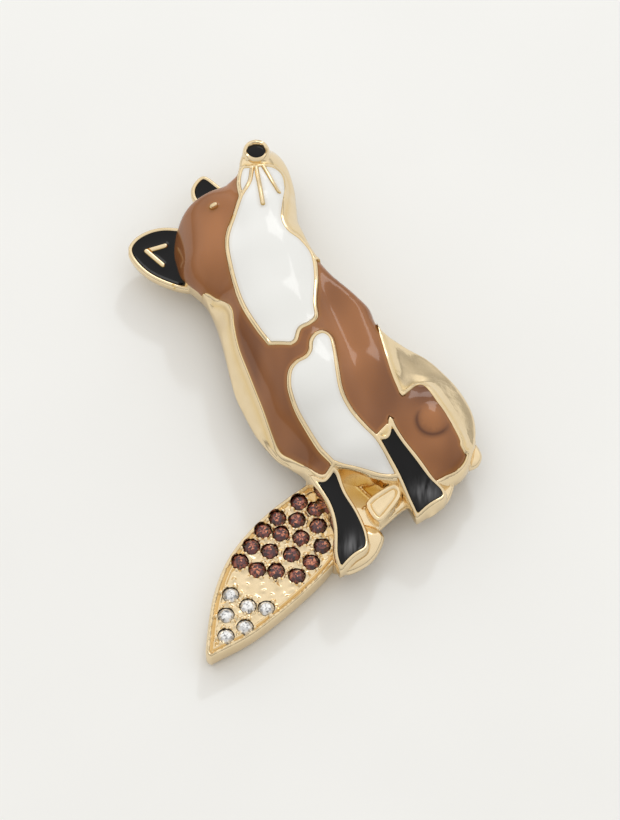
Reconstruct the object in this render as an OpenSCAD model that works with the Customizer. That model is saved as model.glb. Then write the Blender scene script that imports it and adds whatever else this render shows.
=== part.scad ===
// Figural fox brooch, lying on its pin with the face up.
// One gold casting carries glossy enamel in sunk cells, and a tail set with stones.
// Millimetres. +Z is out of the face, +Y is towards the nose, z = 0 is what it lies on.
// Places in the plane are percent of the length, heights are percent of the front height.

/* [Figure] */
// Length from the nose to the tip of the tail
brooch_l = 57; // [52:1:70]
// Height of the chest above the surface that the brooch lies on
front_h = 9.4; // [8.6:0.1:12]
// Height of the flat back of the body above that surface
back_z = 2; // [1.6:0.1:2.2]
// Height of the face of both ears
ear_z = 3.6; // [3.4:0.1:5.4]
// Height of the low metal between the legs
web_z = 3.4; // [2.8:0.1:3.8]
// Height of the face of the hind paw
paw_z = 4.4; // [4:0.1:5]
// How far the side walls tuck in towards the back
wall_tuck = 0.8; // [0.2:0.1:1]
// Height over which they tuck in
hem_h = 1; // [0.6:0.1:1.2]

/* [Enamel] */
// Width of the metal rims between the cells
rim_w = 0.5; // [0.4:0.05:0.7]
// Depth of the enamel in its cell
enamel_t = 0.6; // [0.4:0.05:0.8]
// Width of the rims of the ears
ear_rim = 0.5; // [0.4:0.05:0.6]
// Drop from the top of a rim to the enamel
rim_drop = 0.12; // [0.05:0.01:0.2]
// Gap between the enamel and the metal round it
cell_gap = 0.04; // [0.02:0.01:0.06]
// Width of the raised whiskers, the eye and the ear wires
wire_w = 0.45; // [0.35:0.05:0.6]
// Depth of the recess in the back
back_recess = 0.8; // [0.4:0.1:1]
// Width of the border left round the recess in the back
back_border = 1.6; // [1.2:0.1:2.4]

/* [Tail] */
// Thickness of the tail, which lies flat on the surface
tail_t = 2.6; // [2.4:0.1:3.2]
// Width of the raised border round the tail
tail_border = 0.5; // [0.4:0.05:0.8]
// Depth of the stone field inside that border
tail_sink = 0.55; // [0.4:0.05:0.8]
// Diameter of a brown stone
brown_d = 1.65; // [1.4:0.05:1.7]
// Diameter of a clear stone
clear_d = 1.6; // [1.4:0.05:1.7]
// Gap between a stone and its seat
seat_gap = 0.04; // [0.02:0.01:0.06]
// Metal left under the point of a stone
seat_floor = 0.6; // [0.4:0.05:0.8]

/* [Nose] */
// Diameter of the round metal nose
nose_d = 2.7; // [2.4:0.1:3.2]
// Width of the black oval on the nose
nose_oval_w = 1.9; // [1.5:0.1:2]
// Length of that oval
nose_oval_l = 1.45; // [1.2:0.05:1.6]

/* [Pin] */
// Distance between the hinge and the catch
pin_span = 19; // [16:0.5:20]
// Turn of the pin from the X axis, which is level when the figure is worn upright
pin_turn = -34; // [-38:1:-31]
// Diameter of the pin stem
stem_d = 0.8; // [0.7:0.05:1]
// Diameter of the hinge barrel and of the catch
barrel_d = 2.2; // [2:0.1:2.4]
// Length of the hinge barrel
barrel_l = 3; // [2.4:0.1:4]
// Length of the catch
catch_l = 2.2; // [1.8:0.1:3]
// Width of the bar that carries the hinge and the catch
bar_w = 2.4; // [2:0.1:3]
// Thickness of that bar
bar_t = 0.6; // [0.5:0.05:0.7]
// Gap between the bar and the back
bar_gap = 0.05; // [0.02:0.01:0.1]

/* [Hidden] */

gold = [0.93, 0.78, 0.45];
brown = [0.56, 0.36, 0.24];
white = [0.96, 0.95, 0.93];
black = [0.05, 0.05, 0.06];
topaz = [0.36, 0.12, 0.1];
crystal = [0.88, 0.9, 0.93];

unit = brooch_l / 100;
lift = front_h / 100;
sky = 2 * front_h;
curve_steps = 2;
relief_step = 2.6 * unit;
body_step = 2.4 * unit;
blend = 5 * lift;
edge_min = 34 * lift;
swell_fall = 3;
hem_bulge = 0.4;
hem_share = 0.7;
sliver = 0.01;

// Outlines: x, y in percent of the length, and 1 where the line turns sharply.
torso_line = [
    [-10.4, 48.4, 0], [-8.8, 49.4, 0], [-6.6, 49.6, 0], [-5, 48.8, 0], [-3.6, 47, 0],
    [-2.6, 44.8, 0], [-1.8, 41.6, 0], [-1.5, 37.6, 0], [-1.2, 34, 0], [-0.4, 30.8, 0],
    [0.9, 27.6, 0], [2.8, 24.6, 0], [5.4, 21.2, 0], [9.1, 17.6, 0], [11.2, 15.4, 0],
    [12.1, 13, 0], [13.3, 10.6, 1], [17.4, 8.8, 0], [21.4, 7.3, 0], [24.8, 4, 0],
    [27.6, 0.2, 0], [29.3, -3.4, 0], [29.8, -7, 0], [29.4, -11, 0], [28.4, -14.2, 0],
    [26.4, -16.4, 0], [23.2, -17.8, 0], [19.5, -17.6, 0], [16.4, -17.6, 0], [12, -17.5, 0],
    [6, -16.2, 0], [4.4, -17.4, 0], [1.4, -17, 0], [-0.6, -14.8, 0], [-2.6, -13.3, 0],
    [-4.8, -11.8, 0], [-7, -9.2, 0], [-9, -6.2, 0], [-10.7, -2.6, 0], [-12.2, 1, 0],
    [-13.3, 5.4, 0], [-14.3, 9.8, 0], [-15.6, 14.6, 0], [-16.8, 17.8, 0], [-18.2, 19.9, 0],
    [-20.3, 21.9, 0], [-21.8, 24, 0], [-22.6, 26.8, 0], [-23.1, 29.8, 0], [-22.4, 33.8, 0],
    [-20.7, 36.9, 0], [-17.3, 39.4, 0], [-14, 41.4, 0], [-11.9, 42.8, 0], [-11.4, 45.8, 0]];
coat_line = [
    [-11.4, 42.3, 1], [-13.8, 40.9, 0], [-17, 38.9, 0], [-20.3, 36.3, 0], [-22, 33.4, 0],
    [-22.6, 29.8, 0], [-22.1, 27, 0], [-21.3, 24.4, 0], [-19.9, 22.5, 0], [-17.8, 20.3, 0],
    [-16.1, 18.5, 0], [-14.3, 17.1, 0], [-13.1, 14.9, 0], [-12.7, 11.6, 0], [-11.8, 7.5, 0],
    [-9.9, 2, 0], [-8, -3.4, 0], [-6.2, -8, 0], [-4.6, -10.9, 0], [-2.5, -12.6, 0],
    [0, -14.6, 0], [2, -16.5, 0], [3.4, -17, 0], [4.9, -15.6, 1], [6, -6, 1], [12.5, -11.2, 1],
    [14.4, -8.8, 1], [16, -11.2, 0], [19, -15.4, 0], [22, -18.6, 1], [24.3, -16.9, 0],
    [26.4, -15.8, 0], [28, -14.2, 0], [28.8, -12, 1], [28, -12.3, 1], [27.4, -11.4, 1],
    [27.2, -10.2, 0], [25.1, -6.3, 0], [23.2, -3.3, 0], [21.5, -0.4, 0], [20.6, 0.6, 0],
    [19.4, 0.4, 0], [18.2, -1.1, 0], [17, -2.6, 1], [15.4, 1.5, 0], [14.3, 5.5, 0],
    [13.3, 9.8, 0], [12, 12.4, 0], [11.1, 14.1, 0], [9.7, 16, 0], [6.9, 18.8, 0],
    [4.2, 21.9, 0], [2.2, 24.2, 1], [0, 22, 1], [-8, 34, 1], [-9.6, 41, 1]];
throat_line = [
    [-9.3, 43.6, 1], [-9.8, 40, 0], [-11.3, 37, 1], [-12.4, 33.6, 0], [-13.4, 30.2, 0],
    [-13.7, 27.4, 0], [-13.3, 24, 0], [-11.9, 18, 0], [-10.4, 13.6, 0], [-8.4, 9.8, 0],
    [-6.2, 6.3, 1], [-2.5, 5.8, 1], [-1.6, 6.6, 0], [-0.9, 8.9, 0], [0.9, 10.2, 0],
    [2, 11.9, 0], [1.8, 15, 0], [2, 20.6, 0], [1.4, 25.6, 0], [-0.6, 28.3, 0],
    [-2.7, 29.8, 0], [-3.8, 32.4, 0], [-3.6, 36, 0], [-3.2, 40, 0], [-3.6, 43, 0],
    [-4.8, 44, 0], [-6.6, 44.1, 0]];
lip_line = [
    [-11.1, 43.5, 0], [-9.3, 43.6, 1], [-9.8, 40, 0], [-11.3, 37, 1], [-11.7, 40.6, 0]];
chest_line = [
    [3.3, 8.6, 0], [4.6, 7.7, 0], [5.2, 5, 0], [5.7, 0.6, 0], [6.4, -3.2, 0], [8.1, -6.5, 0],
    [10.5, -9.4, 0], [12.6, -11.4, 0], [14.6, -14, 0], [16.3, -16.9, 1], [13.5, -17, 0],
    [10, -16.6, 0], [6.8, -16, 0], [4.8, -15.2, 1], [2.6, -12.8, 0], [0.2, -9.2, 0],
    [-1.6, -6.2, 0], [-2.6, -3.4, 0], [-2.8, -1.4, 0], [-2.5, 0.6, 0], [-1.4, 2.1, 0],
    [0.1, 3, 0], [0.9, 4.4, 0], [1.1, 6.4, 0], [1.9, 7.9, 0]];
stocking_right_line = [
    [12.6, -11.1, 1], [13.9, -11, 0], [14.7, -10, 0], [14.9, -7.4, 1], [15.9, -9.5, 0],
    [18.6, -12.9, 0], [21.7, -16.8, 0], [24, -18.9, 0], [24.1, -20.4, 0], [22.1, -21.9, 0],
    [19.5, -23.7, 1], [18, -20.6, 0], [16.1, -16.5, 0], [14.1, -13.2, 0]];
stocking_left_line = [
    [1, -16.6, 1], [3.2, -17.8, 0], [4.9, -16.2, 1], [5.7, -17, 0], [7, -20.2, 0],
    [9.2, -23.8, 0], [10.6, -27.2, 0], [10.7, -30.2, 0], [8.6, -32.1, 0], [6.2, -34.3, 1],
    [5.4, -31.6, 0], [5.3, -26.6, 0], [4.1, -22, 0]];
ear_near_line = [
    [-19, 33.95, 1], [-25, 34.55, 0], [-29, 33.15, 0], [-31.1, 30.55, 0], [-30.4, 27.75, 0],
    [-27.4, 24.55, 0], [-22.6, 22.25, 0], [-18, 21.55, 1]];
ear_far_line = [
    [-17.4, 37.45, 1], [-19.7, 39.95, 0], [-20.1, 42.35, 0], [-18.9, 44.45, 0], [-17.4, 44.85, 0],
    [-14.9, 42.75, 0], [-12, 39.95, 1]];
web_line = [
    [6, -13, 1], [25, -10, 1], [29.2, -7.4, 1], [30.3, -9.2, 0], [30.9, -11, 0],
    [30.1, -12.9, 0], [27.8, -14, 0], [26.4, -15.2, 0], [25.9, -17.4, 0], [25, -19.8, 0],
    [23.4, -21.6, 0], [21.6, -22.9, 0], [19.4, -22.8, 1], [18, -21, 1], [16.6, -22, 0],
    [14.6, -24, 0], [12.6, -26, 1], [8.6, -25, 1], [3.4, -18, 1]];
foot_line = [
    [9.2, -24, 1], [12.4, -25.2, 0], [13.8, -26.8, 0], [13.2, -29.2, 0], [11.9, -31.4, 0],
    [10, -33, 0], [7.6, -34.1, 0], [5.8, -33.5, 0], [5.6, -31, 1]];
hind_paw_line = [
    [10.6, -21.4, 0], [13.6, -18.4, 0], [15.8, -17.4, 0], [16.9, -19.2, 0], [15.6, -22, 0],
    [12.8, -25, 0]];
tail_line = [
    [4, -13, 1], [0.6, -15.6, 0], [-6.8, -21.8, 0], [-12.8, -29.4, 0], [-15.9, -37.6, 0],
    [-17.1, -46.6, 0], [-17.1, -49.2, 0], [-16.2, -49.9, 1], [-8.4, -45.1, 0],
    [0.2, -37.2, 0], [5.4, -31, 0], [9, -24, 1], [12, -15, 1]];

// Swellings of the front: x, y, height at one end, the same at the other end,
// half width, and the drop at that half width. Heights and drops share one scale.
swells = [
    [-8.7, 44.5, 72, -8.2, 36, 84, 4.5, 13],
    [-8.2, 36, 84, -6.5, 26, 90, 5, 13],
    [-6.5, 26, 90, -4, 14, 95, 7, 13],
    [-4, 14, 95, 1.5, 0, 100, 8, 19],
    [1.5, 0, 100, 8.5, -9, 85, 7.5, 18],
    [8.5, -9, 85, 11, -16, 60, 7, 19],
    [-15, 35, 73, -14.5, 26, 82, 8.6, 44],
    [-1, 27, 72, 6, 18, 79, 6, 26],
    [6, 18, 79, 11, 2, 86, 6.5, 17],
    [11, 2, 86, 15, -6, 80, 6, 16],
    [20.5, -4.5, 77, 23, -10, 73, 7, 25],
    [14, 9, 60, 25, 0, 49, 5, 15],
    [14.5, -8.5, 75, 21.5, -20, 54, 4, 10],
    [4, -16, 58, 8, -31, 54, 4, 10]];

// Raised bars: x, y at one end, the same at the other end.
whiskers = [[-8.6, 43.6, -7.4, 35], [-7.4, 43.8, -4.7, 38.2]];
eye_bar = [-16.6, 35.1, -15.5, 35.9];
ear_wires = [[-24.6, 30.75, -27.9, 29.65], [-27.9, 29.65, -25, 26.85]];

// Stones: x, y of each centre.
brown_spots = [
    [-1, -19.3], [1.9, -20.6], [-4.8, -22.4], [-1.4, -22.8], [2.3, -24], [-7.3, -24.9],
    [-4.2, -25.5], [-0.7, -26.3], [3, -27.9], [-9.3, -28], [-6.1, -28.9], [-2.3, -29.6],
    [1.1, -31.1], [-11.3, -31], [-8.3, -32.6], [-5, -32.8], [-1.4, -33.8]];
clear_spots = [
    [-12.9, -37.5], [-9.9, -39.7], [-6.7, -40.1], [-13.7, -41.5], [-10.4, -43.8], [-13.7, -45.6]];

// Cut of the stones, as shares of their diameter.
crown_h = 0.22;
girdle_h = 0.06;
point_h = 0.45;
table_share = 0.58;
point_share = 0.06;
pilot_share = 0.4;
girdle_z = tail_t - tail_sink;

nose_sink = 0.22;
nose_spot = [-8.7, 47.3];
nose_z = 62 * lift;
pin_spot = [3, 12];
pin_flat = 0.12;
pin_z = barrel_d / 2 - pin_flat;
bar_top = back_z + back_recess - bar_gap;
catch_play = 0.3;
stem_point = 2;
pin_room = 0.4;

function clamp(t) = min(1, max(0, t));
function mix(a, b, t) = a + (b - a) * t;
function spot(p) = [p[0], p[1]] * unit;

// A smooth closed line through the rows of an outline, straight-ended at sharp rows.
function slope(rows, i, side) =
    let (n = len(rows), a = rows[(i + n - 1) % n], b = rows[i % n], c = rows[(i + 1) % n])
    b[2] == 1
        ? (side > 0 ? spot(c) - spot(b) : spot(b) - spot(a))
        : (spot(c) - spot(a)) / 2;
function bend(a, b, da, db, t) =
    a * (2 * t^3 - 3 * t^2 + 1) + da * (t^3 - 2 * t^2 + t)
    + b * (3 * t^2 - 2 * t^3) + db * (t^3 - t^2);
function curve(rows) = [
    for (i = [0 : len(rows) - 1], k = [0 : curve_steps - 1])
        let (j = (i + 1) % len(rows))
        bend(spot(rows[i]), spot(rows[j]), slope(rows, i, 1), slope(rows, j, -1),
             k / curve_steps)];

// Height of the modelled front over a point of the plane.
function swell(p, s) =
    let (a = [s[0], s[1]] * unit, b = [s[3], s[4]] * unit, along = b - a)
    let (t = clamp((p - a) * along / (along * along)))
    let (d = norm(p - a - along * t) / (s[6] * unit))
    (mix(s[2], s[5], t) - s[7] * d ^ swell_fall) * lift;
function soft_max(a, b) =
    let (h = max(blend - abs(a - b), 0) / blend)
    max(a, b) + h * h * blend / 4;
function pile(p, i) = i < 0 ? edge_min : soft_max(swell(p, swells[i]), pile(p, i - 1));
function front(p) = pile(p, len(swells) - 1);

// The middle of the whole outline, which sits over the origin.
reach = concat(curve(torso_line), curve(ear_near_line), curve(web_line), curve(tail_line));
mid = [(min([for (p = reach) p[0]]) + max([for (p = reach) p[0]])) / 2,
       (min([for (p = reach) p[1]]) + max([for (p = reach) p[1]])) / 2];

module centred() {
    translate([-mid[0], -mid[1], 0])
        children();
}

// Solid between two heights that follow the front, over the box round some points.
// A height is the front plus its rise, or a flat level where flat is true.
module layer(points, step, low, low_flat, high, high_flat) {
    x0 = min([for (p = points) p[0]]) - step;
    y0 = min([for (p = points) p[1]]) - step;
    nx = ceil((max([for (p = points) p[0]]) - x0) / step) + 1;
    ny = ceil((max([for (p = points) p[1]]) - y0) / step) + 1;
    spots = [for (j = [0 : ny], i = [0 : nx]) [x0 + i * step, y0 + j * step]];
    heights = [for (p = spots) front(p)];
    count = len(spots);
    low_points = [for (k = [0 : count - 1])
        [spots[k][0], spots[k][1], low_flat ? low : heights[k] + low]];
    high_points = [for (k = [0 : count - 1])
        [spots[k][0], spots[k][1], high_flat ? high : heights[k] + high]];
    top_faces = [for (j = [0 : ny - 1], i = [0 : nx - 1]) each
        let (a = j * (nx + 1) + i, b = a + 1, c = a + nx + 1, d = c + 1)
        [[count + a, count + c, count + d], [count + a, count + d, count + b]]];
    bottom_faces = [for (j = [0 : ny - 1], i = [0 : nx - 1]) each
        let (a = j * (nx + 1) + i, b = a + 1, c = a + nx + 1, d = c + 1)
        [[a, d, c], [a, b, d]]];
    edge = concat([for (i = [0 : nx - 1]) i],
                  [for (j = [0 : ny - 1]) j * (nx + 1) + nx],
                  [for (i = [nx : -1 : 1]) ny * (nx + 1) + i],
                  [for (j = [ny : -1 : 1]) j * (nx + 1)]);
    side_faces = [for (k = [0 : len(edge) - 1]) each
        let (a = edge[k], b = edge[(k + 1) % len(edge)])
        [[a, count + a, count + b], [a, count + b, b]]];
    polyhedron(concat(low_points, high_points), concat(top_faces, bottom_faces, side_faces));
}

// Wall with a rounded lower edge: tucked in at the bottom, full size above the hem.
module walled(points, low, high) {
    hem = min(hem_h, (high - low) * hem_share);
    translate([0, 0, low + hem])
        linear_extrude(high - low - hem)
            polygon(points);
    for (k = [0, 1])
        translate([0, 0, low + k * hem / 2])
            linear_extrude(hem / 2 + sliver)
                offset(delta = -wall_tuck * (k == 0 ? 1 : hem_bulge))
                    polygon(points);
}

module bar(ends, width) {
    hull() {
        translate(spot([ends[0], ends[1]]))
            circle(d = width, $fn = 12);
        translate(spot([ends[2], ends[3]]))
            circle(d = width, $fn = 12);
    }
}

// Flat shape of each cell. Grow widens the rims and the wires round it.
module cell(line, grow) {
    offset(delta = -rim_w / 2 - grow)
        polygon(curve(line));
}

module rim_cut(line, grow) {
    offset(delta = rim_w / 2 + grow)
        polygon(curve(line));
}

module coat_cell(grow) {
    difference() {
        cell(coat_line, grow);
        for (line = [throat_line, chest_line, lip_line, stocking_right_line])
            rim_cut(line, grow);
        bar(eye_bar, wire_w + 2 * grow);
    }
}

module throat_cell(grow) {
    difference() {
        cell(throat_line, grow);
        for (w = whiskers)
            bar(w, wire_w + 2 * grow);
    }
}

module ear_cell(line, grow) {
    difference() {
        offset(delta = -ear_rim - grow)
            polygon(curve(line));
        rim_cut(torso_line, grow);
    }
}

module ear_near_cell(grow) {
    difference() {
        ear_cell(ear_near_line, grow);
        for (w = ear_wires)
            bar(w, wire_w + 2 * grow);
    }
}

module pocket(line) {
    intersection() {
        translate([0, 0, back_z])
            linear_extrude(sky)
                children();
        layer(curve(line), relief_step, -rim_drop - enamel_t - cell_gap, false, sky, true);
    }
}

module fill(line) {
    intersection() {
        translate([0, 0, back_z])
            linear_extrude(sky)
                children();
        layer(curve(line), relief_step, -rim_drop - enamel_t, false, -rim_drop, false);
    }
}

// Recess of the back, opened further under the pin so that the pin always seats in it.
module recess() {
    translate([0, 0, back_z - sliver])
        linear_extrude(back_recess + sliver) {
            offset(delta = -back_border)
                polygon(curve(torso_line));
            translate(spot(pin_spot))
                rotate(pin_turn)
                    square([pin_span + barrel_l, max(bar_w, barrel_d)] + [pin_room, pin_room],
                           center = true);
        }
}

module body_metal() {
    intersection() {
        union() {
            walled(curve(torso_line), back_z, sky);
            for (line = [stocking_left_line, stocking_right_line])
                translate([0, 0, back_z])
                    linear_extrude(sky)
                        offset(delta = rim_w / 2)
                            polygon(curve(line));
        }
        layer(curve(concat(torso_line, stocking_left_line)), body_step, 0, true, 0, false);
    }
}

module ears_metal() {
    for (line = [ear_near_line, ear_far_line])
        walled(curve(line), back_z, ear_z);
}

module low_metal() {
    for (line = [web_line, foot_line])
        walled(curve(line), back_z, web_z);
    translate([0, 0, back_z])
        linear_extrude(paw_z - back_z)
            polygon(curve(hind_paw_line));
}

module nose_metal() {
    translate([spot(nose_spot)[0], spot(nose_spot)[1], nose_z])
        sphere(d = nose_d, $fn = 20);
}

// Seat of a stone: open above its girdle, a cone under it, and a pilot hole in the middle.
module stone_seat(d) {
    cone_h = d * point_h + 2 * seat_gap;
    translate([0, 0, girdle_z - sliver])
        cylinder(d = d + 2 * seat_gap, h = tail_t + d * crown_h - girdle_z, $fn = 12);
    translate([0, 0, girdle_z - cone_h])
        cylinder(d1 = d * point_share + 2 * seat_gap, d2 = d + 2 * seat_gap, h = cone_h,
                 $fn = 12);
    translate([0, 0, seat_floor])
        cylinder(d = d * pilot_share, h = girdle_z - seat_floor, $fn = 8);
}

module tail_metal() {
    difference() {
        walled(curve(tail_line), 0, tail_t);
        translate([0, 0, tail_t - tail_sink])
            linear_extrude(tail_t)
                offset(delta = -tail_border)
                    polygon(curve(tail_line));
    }
}

module casting() {
    color(gold)
        centred()
            difference() {
                union() {
                    body_metal();
                    ears_metal();
                    low_metal();
                    nose_metal();
                    tail_metal();
                }
                recess();
                pocket(coat_line) coat_cell(0);
                pocket(throat_line) throat_cell(0);
                pocket(lip_line) cell(lip_line, 0);
                pocket(chest_line) cell(chest_line, 0);
                pocket(stocking_right_line) cell(stocking_right_line, 0);
                pocket(stocking_left_line) cell(stocking_left_line, 0);
                ear_pocket() ear_near_cell(0);
                ear_pocket() ear_cell(ear_far_line, 0);
                nose_oval(0, sky);
                for (s = brown_spots)
                    translate(concat(spot(s), 0))
                        stone_seat(brown_d);
                for (s = clear_spots)
                    translate(concat(spot(s), 0))
                        stone_seat(clear_d);
            }
}

module ear_pocket() {
    translate([0, 0, ear_z - rim_drop - enamel_t - cell_gap])
        linear_extrude(sky)
            children();
}

module ear_fill() {
    translate([0, 0, ear_z - rim_drop - enamel_t])
        linear_extrude(enamel_t)
            children();
}

module nose_oval(grow, height) {
    translate(concat(spot(nose_spot), nose_z + nose_d / 2 - nose_sink - enamel_t + grow))
        linear_extrude(height)
            scale([nose_oval_w / nose_oval_l, 1])
                circle(d = nose_oval_l - 2 * grow, $fn = 24);
}

// Hinge, catch and stem on one bar, seated in the recess of the back.
module pin_back() {
    color(gold)
        centred()
            translate(concat(spot(pin_spot), 0))
                rotate(pin_turn)
                    intersection() {
                        union() {
                            pin_bar();
                            pin_hinge();
                            pin_catch();
                            pin_stem();
                        }
                        translate([-brooch_l / 2, -brooch_l / 2, 0])
                            cube([brooch_l, brooch_l, sky]);
                    }
}

module pin_bar() {
    translate([-(pin_span + barrel_l) / 2, -bar_w / 2, bar_top - bar_t])
        cube([pin_span + barrel_l, bar_w, bar_t]);
}

module pin_hinge() {
    translate([-(pin_span + barrel_l) / 2, 0, pin_z])
        rotate([0, 90, 0])
            cylinder(d = barrel_d, h = barrel_l, $fn = 32);
    translate([-(pin_span + barrel_l) / 2, -barrel_d / 2, pin_z])
        cube([barrel_l, barrel_d, bar_top - pin_z]);
}

module pin_catch() {
    difference() {
        union() {
            translate([(pin_span - catch_l) / 2, 0, pin_z])
                rotate([0, 90, 0])
                    cylinder(d = barrel_d, h = catch_l, $fn = 32);
            translate([(pin_span - catch_l) / 2, -barrel_d / 2, pin_z])
                cube([catch_l, barrel_d, bar_top - pin_z]);
        }
        translate([0, 0, pin_z])
            rotate([0, 90, 0])
                cylinder(d = stem_d + catch_play, h = pin_span, $fn = 32);
    }
}

module pin_stem() {
    translate([-pin_span / 2, 0, pin_z])
        rotate([0, 90, 0])
            cylinder(d = stem_d, h = pin_span, $fn = 32);
    translate([pin_span / 2, 0, pin_z])
        rotate([0, 90, 0])
            cylinder(d1 = stem_d, d2 = stem_d / 4, h = stem_point, $fn = 32);
}

module enamel_nose() {
    color(black)
        centred()
            nose_oval(cell_gap, enamel_t);
}

module enamel_coat() {
    color(brown)
        centred()
            fill(coat_line) coat_cell(cell_gap);
}

module enamel_throat() {
    color(white)
        centred()
            fill(throat_line) throat_cell(cell_gap);
}

module enamel_lip() {
    color(white)
        centred()
            fill(lip_line) cell(lip_line, cell_gap);
}

module enamel_chest() {
    color(white)
        centred()
            fill(chest_line) cell(chest_line, cell_gap);
}

module enamel_stocking_right() {
    color(black)
        centred()
            fill(stocking_right_line) cell(stocking_right_line, cell_gap);
}

module enamel_stocking_left() {
    color(black)
        centred()
            fill(stocking_left_line) cell(stocking_left_line, cell_gap);
}

module enamel_ear_near() {
    color(black)
        centred()
            ear_fill() ear_near_cell(cell_gap);
}

module enamel_ear_far() {
    color(black)
        centred()
            ear_fill() ear_cell(ear_far_line, cell_gap);
}

// A cut stone: a flat table, eight crown facets, a girdle and a point below.
module stone(d) {
    translate([0, 0, girdle_z])
        hull() {
            translate([0, 0, d * crown_h - sliver])
                rotate(22.5)
                    cylinder(d = d * table_share, h = sliver, $fn = 8);
            cylinder(d = d, h = d * girdle_h, $fn = 8);
            translate([0, 0, -d * point_h])
                cylinder(d = d * point_share, h = sliver, $fn = 8);
        }
}

module stone_brown(i) {
    color(topaz)
        centred()
            translate(concat(spot(brown_spots[i - 1]), 0))
                stone(brown_d);
}

module stone_clear(i) {
    color(crystal)
        centred()
            translate(concat(spot(clear_spots[i - 1]), 0))
                stone(clear_d);
}

casting();
enamel_coat();
enamel_throat();
enamel_lip();
enamel_chest();
enamel_stocking_right();
enamel_stocking_left();
enamel_ear_near();
enamel_ear_far();
enamel_nose();
pin_back();
for (i = [1 : len(brown_spots)])
    stone_brown(i);
for (i = [1 : len(clear_spots)])
    stone_clear(i);
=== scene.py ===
# %% [markdown]
# # A cast and enamelled fox brooch
# This brooch is one gold plated casting with glossy enamel in sunk cells and a tail set with stones.
# The imported model brings every real size, and Blender gives the looks: rounded rims, domed enamel,
# cut stones, and scratched plating with painted shade in its corners.
# The imported model is loaded first and never changed. Its box is kept, and the meshes built here from
# arrays are clipped to it.

# %% Load the imported model
import math

import bpy
import numpy as np
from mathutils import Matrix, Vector
from mathutils.geometry import delaunay_2d_cdt
from mathutils.kdtree import KDTree


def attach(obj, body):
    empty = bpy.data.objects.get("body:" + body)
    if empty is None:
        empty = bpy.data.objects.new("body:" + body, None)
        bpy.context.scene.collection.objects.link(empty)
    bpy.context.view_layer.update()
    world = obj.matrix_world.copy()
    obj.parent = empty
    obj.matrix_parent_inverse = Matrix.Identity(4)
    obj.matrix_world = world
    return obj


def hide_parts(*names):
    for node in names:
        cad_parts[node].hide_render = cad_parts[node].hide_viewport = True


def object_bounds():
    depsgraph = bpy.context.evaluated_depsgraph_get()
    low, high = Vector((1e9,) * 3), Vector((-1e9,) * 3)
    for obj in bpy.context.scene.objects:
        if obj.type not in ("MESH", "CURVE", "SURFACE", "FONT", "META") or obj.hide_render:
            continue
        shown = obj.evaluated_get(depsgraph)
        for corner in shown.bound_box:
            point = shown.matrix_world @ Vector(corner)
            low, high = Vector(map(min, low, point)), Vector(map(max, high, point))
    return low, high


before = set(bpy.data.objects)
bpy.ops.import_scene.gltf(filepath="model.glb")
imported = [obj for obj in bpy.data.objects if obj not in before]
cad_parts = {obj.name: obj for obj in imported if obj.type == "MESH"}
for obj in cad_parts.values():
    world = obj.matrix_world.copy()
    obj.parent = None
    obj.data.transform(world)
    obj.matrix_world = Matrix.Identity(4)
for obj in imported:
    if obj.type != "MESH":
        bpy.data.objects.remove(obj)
cad_box = [list(corner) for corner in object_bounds()]
print("packed model:", len(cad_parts), "nodes, box in metres", cad_box)

# %% [markdown]
# ## The camera
# The camera comes early, because the picture's viewpoint decides what has to look right.
# The photograph looks down at about 61 degrees. A very long lens gives almost no perspective, which is
# how a small jewel is usually photographed, and it lets one millimetre be ten pixels everywhere.

# %% Place the camera
VIEW_HEIGHT = math.radians(61.5)
LENS = 600.0
FILM = 36.0
PICTURE_HEIGHT_MM = 82.0
camera_far = PICTURE_HEIGHT_MM / FILM * LENS / 1000
AIM = Vector((0.00056, 0.00076, 0))


def add_object(name, data):
    """A new object that is part of the scene."""
    thing = bpy.data.objects.new(name, data)
    bpy.context.scene.collection.objects.link(thing)
    return thing


camera = add_object("camera", bpy.data.cameras.new("camera"))
bpy.context.scene.camera = camera
camera.data.lens = LENS
camera.data.sensor_width = FILM
camera.data.clip_end = 10
camera.location = AIM + Vector((0, -math.cos(VIEW_HEIGHT), math.sin(VIEW_HEIGHT))) * camera_far
camera.rotation_euler = (math.pi / 2 - VIEW_HEIGHT, 0, 0)
print("camera distance in metres:", round(camera_far, 3))

# %% [markdown]
# ## The maker's drawing
# A jeweller starts from a drawing of the outlines. Here each outline is a short table: x and y in
# percent of the brooch's length, and a 1 where the line turns sharply. They are the same outlines as in
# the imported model, apart from the brown coat, which runs over the edge at the head and shoulder.
# Drawing in percent keeps the numbers short, and one factor turns them into millimetres.

# %% Outlines in percent
UNIT = 0.57
SHIFT = np.array([0.057, 0.0819])

torso_line = [
    [-10.4, 48.4], [-8.8, 49.4], [-6.6, 49.6], [-5, 48.8], [-3.6, 47], [-2.6, 44.8], [-1.8, 41.6],
    [-1.5, 37.6], [-1.2, 34], [-0.4, 30.8], [0.9, 27.6], [2.8, 24.6], [5.4, 21.2], [9.1, 17.6],
    [11.2, 15.4], [12.1, 13], [13.3, 10.6, 1], [17.4, 8.8], [21.4, 7.3], [24.8, 4], [27.6, 0.2],
    [29.3, -3.4], [29.8, -7], [29.4, -11], [28.4, -14.2], [26.4, -16.4], [23.2, -17.8],
    [19.5, -17.6], [16.4, -17.6], [12, -17.5], [6, -16.2], [4.4, -17.4], [1.4, -17], [-0.6, -14.8],
    [-2.6, -13.3], [-4.8, -11.8], [-7, -9.2], [-9, -6.2], [-10.7, -2.6], [-12.2, 1], [-13.3, 5.4],
    [-14.3, 9.8], [-15.6, 14.6], [-16.8, 17.8], [-18.2, 19.9], [-20.3, 21.9], [-21.8, 24],
    [-22.6, 26.8], [-23.1, 29.8], [-22.4, 33.8], [-20.7, 36.9], [-17.3, 39.4], [-14, 41.4],
    [-11.9, 42.8], [-11.4, 45.8]]
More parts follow.
